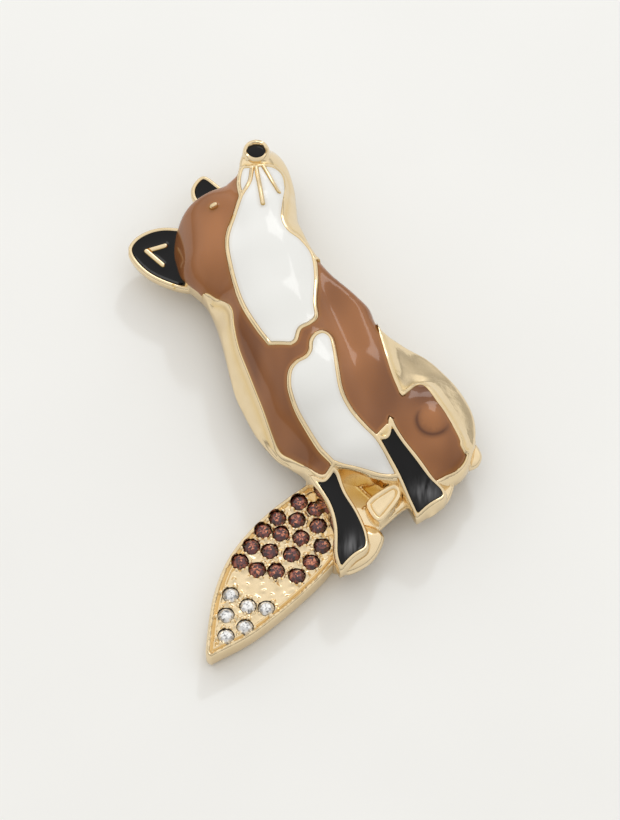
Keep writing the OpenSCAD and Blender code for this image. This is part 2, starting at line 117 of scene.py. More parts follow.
coat_line = [
    [-12.4, 44.4, 1], [-15, 42.9], [-18.4, 40.7], [-22, 37.9], [-23.9, 34.2], [-24.6, 29.8],
    [-24.3, 25.8], [-23.3, 22], [-21.4, 19.2], [-19.2, 18.4, 1], [-17.8, 19.3], [-16.1, 18.5],
    [-14.3, 17.1], [-13.1, 14.9], [-12.7, 11.6], [-11.8, 7.5], [-9.9, 2], [-8, -3.4], [-6.2, -8],
    [-4.6, -10.9], [-2.5, -12.6], [0, -14.6], [2, -16.5], [3.4, -17], [4.9, -15.6, 1], [6, -6, 1],
    [12.5, -11.2, 1], [14.4, -8.8, 1], [16, -11.2], [19, -15.4], [22, -18.6, 1], [24.3, -16.9],
    [26.4, -15.8], [28, -14.2], [28.8, -12, 1], [28, -12.3, 1], [27.4, -11.4, 1], [27.2, -10.2],
    [25.1, -6.3], [23.2, -3.3], [21.5, -0.4], [20.6, 0.6], [19.4, 0.4], [18.2, -1.1], [17, -2.6, 1],
    [15.4, 1.5], [14.3, 5.5], [13.3, 9.8], [12.9, 12.6], [12.4, 15.8], [10.4, 18.6], [6.8, 22],
    [3.9, 25.4, 1], [1.6, 24.8, 1], [0, 22, 1], [-8, 34, 1], [-9.6, 41, 1]]
throat_line = [
    [-9.3, 43.6, 1], [-9.8, 40], [-11.3, 37, 1], [-12.4, 33.6], [-13.4, 30.2], [-13.7, 27.4],
    [-13.3, 24], [-11.9, 18], [-10.4, 13.6], [-8.4, 9.8], [-6.2, 6.3, 1], [-2.5, 5.8, 1],
    [-1.6, 6.6], [-0.9, 8.9], [0.9, 10.2], [2, 11.9], [1.8, 15], [2, 20.6], [1.4, 25.6],
    [-0.6, 28.3], [-2.7, 29.8], [-3.8, 32.4], [-3.6, 36], [-3.2, 40], [-3.6, 43], [-4.8, 44],
    [-6.6, 44.1]]
lip_line = [
    [-11.1, 43.5], [-9.3, 43.6, 1], [-9.8, 40], [-11.3, 37, 1], [-11.7, 40.6]]
chest_line = [
    [3.3, 8.6], [4.6, 7.7], [5.2, 5], [5.7, 0.6], [6.4, -3.2], [8.1, -6.5], [10.5, -9.4],
    [12.6, -11.4], [14.6, -14], [16.3, -16.9, 1], [13.5, -17], [10, -16.6], [6.8, -16],
    [4.8, -15.2, 1], [2.6, -12.8], [0.2, -9.2], [-1.6, -6.2], [-2.6, -3.4], [-2.8, -1.4],
    [-2.5, 0.6], [-1.4, 2.1], [0.1, 3], [0.9, 4.4], [1.1, 6.4], [1.9, 7.9]]
stocking_right_line = [
    [12.6, -11.1, 1], [13.9, -11], [14.7, -10], [14.9, -7.4, 1], [15.9, -9.5], [18.6, -12.9],
    [21.7, -16.8], [24, -18.9], [24.1, -20.4], [22.1, -21.9], [19.5, -23.7, 1], [18, -20.6],
    [16.1, -16.5], [14.1, -13.2]]
stocking_left_line = [
    [1, -16.6, 1], [3.2, -17.8], [4.9, -16.2, 1], [5.7, -17], [7, -20.2], [9.2, -23.8],
    [10.6, -27.2], [10.7, -30.2], [8.6, -32.1], [6.2, -34.3, 1], [5.4, -31.6], [5.3, -26.6],
    [4.1, -22]]
ear_near_line = [
    [-19, 33.95, 1], [-25, 34.55], [-29, 33.15], [-31.1, 30.55], [-30.4, 27.75], [-27.4, 24.55],
    [-22.6, 22.25], [-18, 21.55, 1]]
ear_far_line = [
    [-17.4, 37.45, 1], [-19.7, 39.95], [-20.1, 42.35], [-18.9, 44.45], [-17.4, 44.85],
    [-14.9, 42.75], [-12, 39.95, 1]]
web_line = [
    [6, -13, 1], [25, -10, 1], [29.2, -7.4, 1], [30.3, -9.2], [30.9, -11], [30.1, -12.9],
    [27.8, -14], [26.4, -15.2], [25.9, -17.4], [25, -19.8], [23.4, -21.6], [21.6, -22.9],
    [19.4, -22.8, 1], [18, -21, 1], [16.6, -22], [14.6, -24], [12.6, -26, 1], [8.6, -25, 1],
    [3.4, -18, 1]]
foot_line = [
    [9.2, -24, 1], [12.4, -25.2], [13.8, -26.8], [13.2, -29.2], [11.9, -31.4], [10, -33],
    [7.6, -34.1], [5.8, -33.5], [5.6, -31, 1]]
hind_paw_line = [
    [10.6, -21.4], [13.6, -18.4], [15.8, -17.4], [16.9, -19.2], [15.6, -22], [12.8, -25]]
tail_line = [
    [4, -13, 1], [0.6, -15.6], [-6.8, -21.8], [-12.8, -29.4], [-15.9, -37.6], [-17.1, -46.6],
    [-17.1, -49.2], [-16.2, -49.9, 1], [-8.4, -45.1], [0.2, -37.2], [5.4, -31], [9, -24, 1],
    [12, -15, 1]]

# Raised bars and small places: x, y at one end, the same at the other end.
whiskers = [[-8.6, 43.4, -7.4, 35], [-7.3, 43.6, -4.6, 38.3]]
eye_bar = [-16.3, 35.4, -15.8, 35.7]
ear_wires = [[-24.6, 30.75, -27.9, 29.65], [-27.9, 29.65, -25, 26.85]]
nose_spot = [-8.6, 46.8]
brown_spots = [
    [-1, -19.3], [1.9, -20.6], [-4.8, -22.4], [-1.4, -22.8], [2.3, -24], [-7.3, -24.9],
    [-4.2, -25.5], [-0.7, -26.3], [3, -27.9], [-9.3, -28], [-6.1, -28.9], [-2.3, -29.6],
    [1.1, -31.1], [-11.3, -31], [-8.3, -32.6], [-5, -32.8], [-1.4, -33.8]]
clear_spots = [
    [-12.9, -37.5], [-9.9, -39.7], [-6.7, -40.1], [-13.7, -41.5], [-10.4, -43.8], [-13.7, -45.6]]
print("outlines drawn: 13, stones:", len(brown_spots) + len(clear_spots))

# %% [markdown]
# ## Smooth lines
# Each table is only a few points, so a curve has to pass smoothly through them, as a bent wire would.
# Blender's curve objects could do that. A short function that works on plain numbers is used instead,
# because the lines are needed as points for measuring and for the mesh.

# %% Turn a table into a smooth closed line
def at(spot):
    """A place given in percent, as a point in millimetres."""
    return np.array(spot, float) * UNIT


def smooth_line(rows, step=0.22):
    """Points in millimetres along a closed outline, never further apart than step."""
    points = [at(row[:2]) for row in rows]
    count = len(rows)
    out = []

    def slope(i, side):
        before, here, after = points[i - 1], points[i % count], points[(i + 1) % count]
        if len(rows[i % count]) > 2:
            return after - here if side > 0 else here - before
        return (after - before) / 2

    for i in range(count):
        a, b = points[i], points[(i + 1) % count]
        da, db = slope(i, 1), slope((i + 1) % count, -1)
        steps = max(2, math.ceil(np.linalg.norm(b - a) / step))
        for k in range(steps):
            t = k / steps
            out.append(a * (2 * t**3 - 3 * t**2 + 1) + da * (t**3 - 2 * t**2 + t)
                       + b * (3 * t**2 - 2 * t**3) + db * (t**3 - t**2))
    line = np.array(out)
    x, y = line.T
    area = np.sum(x * np.roll(y, -1) - np.roll(x, -1) * y)
    return line if area > 0 else line[::-1]


torso, coat, throat, lip = map(smooth_line, (torso_line, coat_line, throat_line, lip_line))
chest, ear_near, ear_far = map(smooth_line, (chest_line, ear_near_line, ear_far_line))
stocking_right, stocking_left = map(smooth_line, (stocking_right_line, stocking_left_line))
web, foot, hind_paw, tail = map(smooth_line, (web_line, foot_line, hind_paw_line, tail_line))
print("points along the torso:", len(torso))

# %% [markdown]
# ## Distances
# Nearly everything on this jewel is a matter of distance: a rim is what lies within a quarter of a
# millimetre of an outline, enamel climbs where it comes near a rim, and painted shade sits in the
# corner of a step. So one function measures how far any number of points are from a line, negative
# inside.
# It works on whole arrays at once, which is far quicker than a loop over points.

# %% Measure distances to lines
FAR = 9.0


def distance(points, line, closed=True):
    """Distance of each point to a line, up to FAR."""
    starts = line if closed else line[:-1]
    ends = np.roll(line, -1, 0) if closed else line[1:]
    along = ends - starts
    length2 = np.maximum((along**2).sum(1), 1e-12)
    out = np.full(len(points), FAR)
    low, high = line.min(0) - 2.5, line.max(0) + 2.5
    near = np.nonzero(((points > low) & (points < high)).all(1))[0]
    for part in np.array_split(near, len(near) // 3000 + 1):
        off = points[part][:, None] - starts
        t = np.clip((off * along).sum(2) / length2, 0, 1)
        gap = off - t[..., None] * along
        out[part] = np.sqrt((gap**2).sum(2).min(1))
    return out


def is_inside(points, line):
    """True for each point that a closed line surrounds."""
    out = np.zeros(len(points), bool)
    low, high = line.min(0), line.max(0)
    near = np.nonzero(((points > low) & (points < high)).all(1))[0]
    ax, ay = line.T
    bx, by = np.roll(line, -1, 0).T
    rise = np.where(by == ay, 1e-12, by - ay)
    for part in np.array_split(near, len(near) // 3000 + 1):
        x, y = points[part][:, 0, None], points[part][:, 1, None]
        crosses = ((ay > y) != (by > y)) & (x < ax + (y - ay) / rise * (bx - ax))
        out[part] = crosses.sum(1) % 2 == 1
    return out


def signed(points, line):
    """Distance to a closed line, negative inside it."""
    gap = distance(points, line)
    return np.where(is_inside(points, line), -gap, gap)


def from_bar(points, bar):
    """Distance of each point from the middle line of a short bar."""
    return distance(points, at([bar[:2], bar[2:]]), closed=False)


def from_spot(points, spot):
    """Distance of each point from a place given in percent."""
    return np.linalg.norm(points - at(spot), axis=1)


def hump(gap, width):
    """A soft hump: 1 where the gap is 0, and next to nothing from twice the width on."""
    return np.exp(-((gap / width) ** 2))


print("middle of the torso is inside it:", bool(is_inside(np.array([[0.0, 0.0]]), torso)[0]))

# %% [markdown]
# ## The modelled front
# Under the enamel the casting swells softly: head, throat, chest, shoulder and haunch. A sculptor
# builds this with pads of wax, and the table does the same. Each row is a rounded pad from one point
# to another: x, y and height of both, then its half width and how far its side has dropped there. A
# soft maximum melts the pads into each other without a seam.
# Creases that are left between two pads are rubbed out, by taking the mean height of a small round
# neighbourhood, which is what a thumb does to wax.

# %% Height of the front
FRONT = 9.4
LIFT = FRONT / 100
EDGE_Z = 34 * LIFT
EAR_Z, WEB_Z, PAW_Z, BACK_Z, TAIL_T, TAIL_SINK = 3.6, 3.4, 4.4, 2.0, 2.6, 0.55
RECESS, BORDER = 0.8, 1.6
THUMB, FLAT_HAND = (0.0, 0.6, 1.2), (0.8, 1.5, 2.1, 2.6)

swells = [
    [-8.7, 44.5, 72, -8.2, 36, 84, 4.5, 13],
    [-8.2, 36, 84, -6.5, 26, 90, 5, 13],
    [-6.5, 26, 90, -4, 14, 95, 7, 13],
    [-4, 14, 95, 1.5, 0, 100, 8, 19],
    [1.5, 0, 100, 8.5, -9, 85, 7.5, 18],
    [8.5, -9, 85, 11, -16, 60, 7, 19],
    [-15, 35, 73, -14.5, 26, 82, 8.6, 44],
    [-1, 27, 72, 6, 18, 79, 6, 26],
    [6, 18, 79, 11, 2, 86, 6.5, 17],
    [11, 2, 86, 15, -6, 80, 6, 16],
    [20.5, -4.5, 77, 23, -10, 73, 7, 25],
    [14, 9, 60, 25, 0, 49, 5, 15],
    [14.5, -8.5, 75, 21.5, -20, 54, 4, 10],
    [4, -16, 58, 8, -31, 54, 4, 10]]


def pads(points):
    """Height of the melted pads over each point."""
    blend = 5 * LIFT
    height = np.full(len(points), EDGE_Z)
    for x1, y1, h1, x2, y2, h2, half_width, fall in swells:
        start, along = at([x1, y1]), at([x2 - x1, y2 - y1])
        t = np.clip((points - start) @ along / (along @ along), 0, 1)
        off = np.linalg.norm(points - start - t[:, None] * along, axis=1) / (half_width * UNIT)
        pad = (h1 + (h2 - h1) * t - fall * off**3) * LIFT
        near = np.maximum(blend - np.abs(height - pad), 0) / blend
        height = np.maximum(height, pad) + near**2 * blend / 4
    return height


def rubbed(points, reaches, around=6):
    """Mean height of the pads round each point, which melts the creases between them."""
    total = np.zeros(len(points))
    for k, reach in enumerate(reaches):
        for turn in (np.arange(around) + k / 2) * 2 * math.pi / around:
            total += pads(points + reach * np.array([math.cos(turn), math.sin(turn)]))
    return total / (around * len(reaches))


def front(points):
    """Height of the modelled front."""
    return rubbed(points, THUMB)


print("front over the chest in mm:", front(np.array([[0.0, 0.0]])).round(2))

# %% [markdown]
# ## The cells
# Enamel is poured into cells, and the metal left between them is a rim. For each cell one function
# tells how deep a point lies inside it, counted from the foot of the rim. Metal and enamel both use
# it, so they always fit, as the real enamel fits the cell that it was poured into.

# %% How deep a point lies in each cell
RIM = 0.25
EAR_RIM = 0.5
WIRE = 0.25
EAR_WIRE = 0.3
EYE = 0.36


def cell_depths(points):
    """For each cell, how far inside its rims each point lies, negative outside."""
    own = {name: -signed(points, line) for name, line in (
        ("coat", coat), ("throat", throat), ("lip", lip), ("chest", chest),
        ("stocking_right", stocking_right), ("stocking_left", stocking_left))}
    body = -signed(points, torso)
    wires = {"throat": [from_bar(points, w) - WIRE for w in whiskers],
             "coat": [from_bar(points, eye_bar) - EYE]}
    others = {"coat": ("throat", "lip", "chest", "stocking_right", "stocking_left")}
    out = {}
    for name, depth in own.items():
        depth = depth - RIM
        for other in others.get(name, ()):
            depth = np.minimum(depth, -own[other] - RIM)
        for wire in wires.get(name, ()):
            depth = np.minimum(depth, wire)
        out[name] = depth
    for name, line in (("ear_near", ear_near), ("ear_far", ear_far)):
        depth = np.minimum(-signed(points, line) - EAR_RIM, 0.1 - body)
        if name == "ear_near":
            for wire in ear_wires:
                depth = np.minimum(depth, from_bar(points, wire) - EAR_WIRE)
        out[name] = depth
    return out


print("cells:", ", ".join(cell_depths(np.zeros((1, 2)))))

# %% [markdown]
# ## A mesh from lines and dots
# The surfaces are relief, like a coin, so each can be a sheet of triangles seen from above with a
# height for every point. Blender can fill a drawing with well-shaped triangles, and lets chosen lines
# stay as edges. Lines follow the rims closely, and loose dots fill the plain areas between them.
# This keeps crisp rims without millions of faces, which an even grid would need.

# %% Offset lines
def offset(line, gap, closed=True):
    """The line moved outward by gap, as stretches of points that stay clear of other parts of it."""
    ahead = np.roll(line, -1, 0) - np.roll(line, 1, 0)
    normal = np.stack([ahead[:, 1], -ahead[:, 0]], 1)
    normal /= np.maximum(np.linalg.norm(normal, axis=1), 1e-9)[:, None]
    moved = line + normal * gap
    return moved, distance(moved, line, closed) > abs(gap) - 0.012


def closed(ring):
    """The ring with its first point again at the end."""
    return np.vstack([ring, ring[:1]])


def runs(points, good):
    """Splits a closed line into its stretches of good points."""
    if good.all():
        return [closed(points)]
    start = int(np.argmin(good))
    points, good = np.roll(points, -start, 0), np.roll(good, -start)
    edges = np.flatnonzero(np.diff(np.concatenate([[0], good.astype(int), [0]])))
    return [points[a:b] for a, b in zip(edges[::2], edges[1::2]) if b - a > 1]


def bar_outline(bar, radius, steps=8):
    """Closed outline round a short bar."""
    a, b = at(bar[:2]), at(bar[2:])
    turn = math.atan2(*(b - a)[::-1])
    ring = []
    for centre, start in ((b, turn - math.pi / 2), (a, turn + math.pi / 2)):
        for k in range(steps + 1):
            angle = start + math.pi * k / steps
            ring.append(centre + radius * np.array([math.cos(angle), math.sin(angle)]))
    sides = []
    for p, q in zip(ring, ring[1:] + ring[:1]):
        parts = max(1, math.ceil(np.linalg.norm(q - p) / 0.2))
        sides += [p + (q - p) * k / parts for k in range(parts)]
    return np.array(sides)


def bar_radius(bar):
    """Half the width of a raised bar."""
    return EYE if bar is eye_bar else EAR_WIRE if bar in ear_wires else WIRE


def circle(spot, radius, steps=20):
    """Closed ring of points round a place given in percent."""
    turn = np.arange(steps) * 2 * math.pi / steps
    return at(spot) + radius * np.stack([np.cos(turn), np.sin(turn)], 1)


print("stretches of the torso's line, moved inward:", len(runs(*offset(torso, -BORDER))))

# %% [markdown]
# Dots of an even lattice fill the plain areas. Blender's triangulation then joins dots and lines into
# one sheet, and the lattice gives it triangles of nearly equal sides, which shade smoothly.

# %% Dots and triangles
def dots(low, high, step, lines, clear=0.6):
    """Dots of an even lattice that keep some distance from all lines."""
    finder = KDTree(sum(len(line) for line in lines))
    for k, p in enumerate(p for line in lines for p in line):
        finder.insert((p[0], p[1], 0), k)
    finder.balance()
    out = []
    rows = int((high[1] - low[1]) / (step * 0.866)) + 2
    for j in range(rows):
        for x in np.arange(low[0] + (j % 2) * step / 2, high[0] + step, step):
            y = low[1] + j * step * 0.866
            if finder.find((x, y, 0))[2] > step * clear:
                out.append((x, y))
    return np.array(out).reshape(-1, 2)


def fill(lines, loose):
    """Triangles over all lines and loose dots, with every line kept as edges."""
    points, edges = [], []
    for line in lines:
        first = len(points)
        points += [Vector(p) for p in line]
        edges += [(first + k, first + k + 1) for k in range(len(line) - 1)]
    points += [Vector(p) for p in loose]
    done = delaunay_2d_cdt(points, edges, [], 0, 2e-4, False)
    return np.array([tuple(p) for p in done[0]]), np.array(done[2], int)


print("triangles in a test square:", len(fill([np.array([[0, 0], [1, 0], [1, 1.0]])], [])[1]))

# %% [markdown]
# ## From arrays to a Blender object
# A mesh built from arrays needs three more things: its place in the imported frame, smooth shading with
# true edges kept sharp, and a number per point, such as how close it is to an edge or a corner, which
# the finishes use for thin enamel and for painted shade and light. Materials read those numbers by
# name.

# %% Make an object
SHARP = 38


def make_object(name, points, faces, sharp=SHARP, **painted):
    """A mesh object in metres from the used points, which are in millimetres of the drawing."""
    mesh = bpy.data.meshes.new(name)
    used = np.unique(np.concatenate([np.asarray(f) for f in faces]))
    index = np.zeros(len(points), int)
    index[used] = np.arange(len(used))
    moved = np.array(points, float)[used]
    moved[:, :2] += SHIFT
    moved = np.clip(moved / 1000, cad_box[0], cad_box[1])
    mesh.from_pydata(moved, [], [tuple(int(i) for i in index[list(f)]) for f in faces])
    for label, values in painted.items():
        layer = mesh.attributes.new(label, "FLOAT", "POINT")
        layer.data.foreach_set("value", np.asarray(values, np.float32)[used])
    mesh.polygons.foreach_set("use_smooth", [True] * len(mesh.polygons))
    mesh.validate()
    mesh.set_sharp_from_angle(angle=math.radians(sharp))
    return add_object(name, mesh)


print("degrees from which an edge stays sharp:", SHARP)

# %% [markdown]
# A sheet becomes a closed body when its outer edges are joined to a second sheet. These helpers find
# the outer edges, string them into loops, and count the edges that are still open.

# %% Edges of a sheet
def open_edges(faces):
    """How many edges don't have exactly two faces, which is 0 for a closed mesh."""
    count = {}
    for f in faces:
        for a, b in zip(f, tuple(f[1:]) + (f[0],)):
            key = (min(a, b), max(a, b))
            count[key] = count.get(key, 0) + 1
    return sum(1 for n in count.values() if n != 2)


def border_edges(faces):
    """The outer edges of a sheet of triangles, in the direction of its faces."""
    pairs = {(int(a), int(b)) for f in faces for a, b in ((f[0], f[1]), (f[1], f[2]), (f[2], f[0]))}
    return [(a, b) for a, b in pairs if (b, a) not in pairs]


def edge_loops(sheet):
    """The closed loops of outer edges of a sheet, longest first."""
    ahead = {}
    for a, b in sorted(border_edges(sheet)):
        ahead.setdefault(a, []).append(b)
    loops = []
    while ahead:
        start = next(iter(ahead))
        loop, here = [], start
        while True:
            loop.append(here)
            following = ahead[here].pop()
            if not ahead[here]:
                del ahead[here]
            if following == start:
                break
            here = following
        loops.append(loop)
    return sorted(loops, key=len, reverse=True)


def slab(points, faces, top, bottom):
    """A closed body from one sheet of triangles with two heights for every point."""
    used = np.unique(faces)
    index = np.full(len(points), -1)
    index[used] = np.arange(len(used))
    faces, count = index[faces], len(used)
    body = np.vstack([np.column_stack([points[used], top[used]]),
                      np.column_stack([points[used], bottom[used]])])
    sides = []
    for a, b in sorted(border_edges(faces)):
        sides += [(b, a, a + count), (b, a + count, b + count)]
    return body, np.vstack([faces, faces[:, ::-1] + count, sides]), used


print("open edges of one triangle:", open_edges([(0, 1, 2)]))

# %% [markdown]
# ## The metal casting
# The casting is one piece of metal: body, ears, low metal between the legs, hind paw, nose and tail.
# Each is treated as a plateau with its own top, a rounded edge and a steep wall, and the highest one
# wins at every point. So they grow out of each other as in a real casting, with no faces hidden inside.

# %% Heights of the casting
GROOVE, FLOOR = 0.2, 0.5
WALL, STEEP = 0.1, 60.0
NOSE_R, NOSE_TOP, OVAL_W, OVAL_L = 1.35, 6.95, 1.75, 1.35
BROWN_D, CLEAR_D, GIRDLE = 1.65, 1.6, TAIL_T - TAIL_SINK
spots = [(s, BROWN_D) for s in brown_spots] + [(s, CLEAR_D) for s in clear_spots]


def edge_fall(past, radius=0.2):
    """How far a plateau has dropped, by the distance past its edge."""
    inside = np.clip(past + radius, 0, radius)
    return radius - np.sqrt(np.maximum(radius**2 - inside**2, 0)) + np.maximum(past, 0) * STEEP


def rolled_off(points):
    """How far the coat has dropped where it runs over the open edge, tighter round the head."""
    radius = np.where(points[:, 0] < 0, 0.45, 0.9)
    return edge_fall(signed(points, torso) - 0.03, radius)


def rim_share(depth):
    """1 on the middle line of a rim, 0 at its foot and beyond, from the depth in a cell."""
    return np.clip(1 - ((depth + RIM) / RIM) ** 2, 0, 1)


def bumps(points, size, seed):
    """Soft even noise between -1 and 1 with bumps of about that size, the same in each run."""
    chance = np.random.default_rng(seed)
    total = np.zeros(len(points))
    for _ in range(7):
        angle, phase = chance.uniform(0, 2 * math.pi, 2)
        wave = 2 * math.pi / (size * chance.uniform(1.6, 2.6))
        total += np.sin(points @ (wave * np.array([math.cos(angle), math.sin(angle)])) + phase)
    return total / 3.2


BEAD_GAP, BEAD_APART = 0.08, 0.42
chance = np.random.default_rng(11)
beads = []
for centre, wide in spots:
    for k in range(6):
        turn = k * math.pi / 3 + chance.uniform(-0.3, 0.3)
        place = at(centre) + (wide / 2 + 0.17) * np.array([math.cos(turn), math.sin(turn)])
        gaps = [np.linalg.norm(place - at(s)) - d / 2 for s, d in spots]
        near = [np.linalg.norm(place - b) for b, _ in beads]
        if min(gaps) > BEAD_GAP and (not near or min(near) > BEAD_APART):
            beads.append((place, chance.uniform(0.2, 0.27)))
beads = [b for b, keep in zip(beads, signed(np.array([b for b, _ in beads]), tail) < -0.35) if keep]
print("bead prongs between the stones:", len(beads))

# %% [markdown]
# The tail is a plate with a thin raised border, a groove and a ledge inside it, and a rough field that
# is drilled for each stone. Small beads of metal are pushed over the stones to hold them.

# %% Height of the tail
FIELD_DOWN, FIELD_ROUGH, VEIN_UP = 0.42, (0.06, 0.035), 0.2
TAIL_GROOVE, LEDGE_UP, TAIL_RIM_UP, TAIL_RIM_W = 0.2, 0.17, 0.3, 0.5
GROOVE_IN, GROOVE_W, LEDGE_IN, LEDGE_W = 0.62, 0.09, 0.85, 0.12


def tail_height(points):
    """Border, groove, ledge and rough field of the tail, with its beads and drilled seats."""
    past = signed(points, tail)
    gaps = np.stack([from_spot(points, s) - d / 2 for s, d in spots])
    gaps.sort(axis=0)
    rough = FIELD_ROUGH[0] * bumps(points, 0.6, 3) + FIELD_ROUGH[1] * bumps(points, 0.33, 5)
    rough *= 1 + 1.3 * np.clip(gaps[0] / 0.5, 0, 1)
    vein = hump(gaps[1] - gaps[0], 0.13) * np.clip(1.4 - gaps[1] / 0.5, 0, 1)
    height = TAIL_T - FIELD_DOWN + rough + VEIN_UP * vein
    ledge = np.clip(1 + (past + LEDGE_IN) / LEDGE_W, 0, 1)
    height = np.maximum(height, TAIL_T - FIELD_DOWN + LEDGE_UP * ledge)
    height -= TAIL_GROOVE * hump(past + GROOVE_IN, GROOVE_W)
    border = np.clip(1 - ((past + 0.24) / 0.26) ** 2, 0, 1)
    height = np.where(past > -TAIL_RIM_W, TAIL_T - TAIL_RIM_UP + TAIL_RIM_UP * border, height)
    for place, radius in beads:
        gap2 = ((points - place) ** 2).sum(1)
        bead = GIRDLE + 0.2 + np.sqrt(np.maximum(radius**2 - gap2, 0))
        height = np.where(gap2 < radius**2, np.maximum(height, bead), height)
    for centre, wide in spots:
        seat = np.clip((wide / 2 + 0.06 - from_spot(points, centre)) * 30, 0, 1)
        height = height - seat * (height - (GIRDLE - 0.65))
    return height - edge_fall(past, 0.1)


print("tail height beside a stone in mm:", tail_height(np.array([[-1.5, -12.3]])).round(2))

# %% [markdown]
# The metal between the legs is sunk, with three short ridges, and the left foot bulges out of it. The
# hind paw is a smooth pad with one engraved line. The nose is a round post with a cell in its end.

# %% Height of the low metal and the nose
PIT, RIDGE_UP, RIDGE_R = 0.45, 0.25, 0.14
SOFT_EDGE, FOOT_UP, PAW_LINE, PAW_DISH = 0.45, 0.5, 0.16, 0.08
RIDGES = [[6.3, -13.4, 11.7, -19.4], [10.3, -21.6, 14.7, -17.4], [12.8, -17.2, 17, -16.8]]


def low_height(points):
    """The sunk metal between the legs with its ridges, the left foot and the hind paw."""
    x, y = points.T / UNIT
    web_top = WEB_Z - PIT * np.exp(-((x - 10.5) ** 2 / 18 + (y + 17.8) ** 2 / 9))
    for ridge in RIDGES:
        web_top += RIDGE_UP * hump(from_bar(points, ridge), RIDGE_R)
    web_past, foot_past, paw_past = (signed(points, line) for line in (web, foot, hind_paw))
    height = web_top - edge_fall(web_past, SOFT_EDGE)
    bulge = FOOT_UP * np.clip(-foot_past / 1.2, 0, 1)
    height = np.maximum(height, WEB_Z + bulge - edge_fall(foot_past, SOFT_EDGE))
    line = hump(paw_past + 0.55, 0.1)
    dish = PAW_DISH * np.clip((-paw_past - 0.6) / 0.4, 0, 1)
    return np.maximum(height, PAW_Z - PAW_LINE * line - dish - edge_fall(paw_past, 0.25))


def nose_height(points):
    """A round post that ends in a rounded ring with an oval cell."""
    x, y = (points - at(nose_spot)).T
    gap = np.sqrt(x**2 + y**2)
    oval = np.sqrt((x / (OVAL_W / 2)) ** 2 + (y / (OVAL_L / 2)) ** 2)
    across = np.clip((oval - 1) / np.maximum(oval - 1 + 1.6 * (1 - gap / NOSE_R), 0.01), 0, 1)
    ring = NOSE_TOP - 0.32 * (2 * across - 1) ** 2 - edge_fall(gap - NOSE_R, 0.1)
    return np.where(oval < 1.0, NOSE_TOP - 0.5, ring)


print("cell of the nose in mm:", nose_height(at([nose_spot])).round(2))

# %% [markdown]
# The body's top is the modelled front, a little lower away from the rims, and much lower under the
# enamel. The ears are flat and hold their own cells. The broad plain band along the back is rubbed
# over a wider reach, so that it mirrors the room without ripples, and the knot where three rims meet
# over the right leg is solid metal.

# %% Height of the whole casting
KNOT, KNOT_R = [14.2, -9.4], 0.5
PLAIN_REACH, BODY_EDGE = 0.8, 0.16
WHISKER_UP, EYE_UP, EAR_WIRE_UP = 0.15, 0.35, 0.1


def casting_top(points, depths):
    """Highest of all the forms of the casting over each point."""
    deepest = np.max(np.stack(list(depths.values())), axis=0)
    solid = np.clip(1.8 - from_spot(points, KNOT) / KNOT_R, 0, 1) * (deepest < -RIM)
    rim = np.maximum(rim_share(deepest), solid)
    under = np.clip(deepest / 0.04, 0, 1)
    body = signed(points, torso)
    past = body
    for line in (stocking_right, stocking_left):
        past = np.minimum(past, signed(points, line) - RIM)
    plain = np.clip((-deepest - 2 * RIM) / PLAIN_REACH, 0, 1)
    plain = plain**2 * (3 - 2 * plain) * np.clip(points[:, 0] / UNIT / 4 - 1, 0, 1)
    base = front(points)
    height = base * (1 - plain) + rubbed(points, FLAT_HAND, 10) * plain
    height += GROOVE * rim - GROOVE - FLOOR * under - edge_fall(past, BODY_EDGE)
    height -= rolled_off(points) * (depths["coat"] > -0.01)
    for bar, proud in zip(whiskers + [eye_bar], (WHISKER_UP, WHISKER_UP, EYE_UP)):
        share = from_bar(points, bar) / bar_radius(bar)
        raised = base + proud - (proud + GROOVE) * share**3
        height = np.where(share < 1.02, np.maximum(height, raised), height)
    for name, line in (("ear_near", ear_near), ("ear_far", ear_far)):
        own = depths[name]
        rim = np.clip(1 - ((own + EAR_RIM / 2) / (EAR_RIM / 2)) ** 2, 0, 1)
        ear = EAR_Z - GROOVE * (1 - rim) - FLOOR * np.clip(own / 0.04, 0, 1)
        for bar in ear_wires if name == "ear_near" else []:
            share = from_bar(points, bar) / EAR_WIRE
            ear = np.where(share < 1.02, EAR_Z + EAR_WIRE_UP - 0.25 * share**4, ear)
        ear -= FLOOR * np.clip(-body / 0.03, 0, 1)
        height = np.maximum(height, ear - edge_fall(signed(points, line), 0.1))
    for other in (low_height(points), nose_height(points), tail_height(points)):
        height = np.maximum(height, other)
    return height


middle = np.zeros((1, 2))
print("height of the middle in mm:", casting_top(middle, cell_depths(middle)).round(2))

# %% [markdown]
# Now the lines that stay as edges are gathered: each outline at several distances, wherever the height
# turns quickly, and rings round the bars, the stones and the beads.

# %% Lines of the casting
plans = [torso, offset(stocking_right, RIM)[0], offset(stocking_left, RIM)[0],
         ear_near, ear_far, web, foot, hind_paw, tail, circle(nose_spot, NOSE_R, 40)]


def offsets(line, gaps):
    """Stretches of a line at several distances outward."""
    return [run for gap in gaps for run in runs(*offset(line, gap))]


def rings_round(places, outline):
    """Closed rings from a function that is called with each place."""
    return [closed(outline(*place)) for place in places]


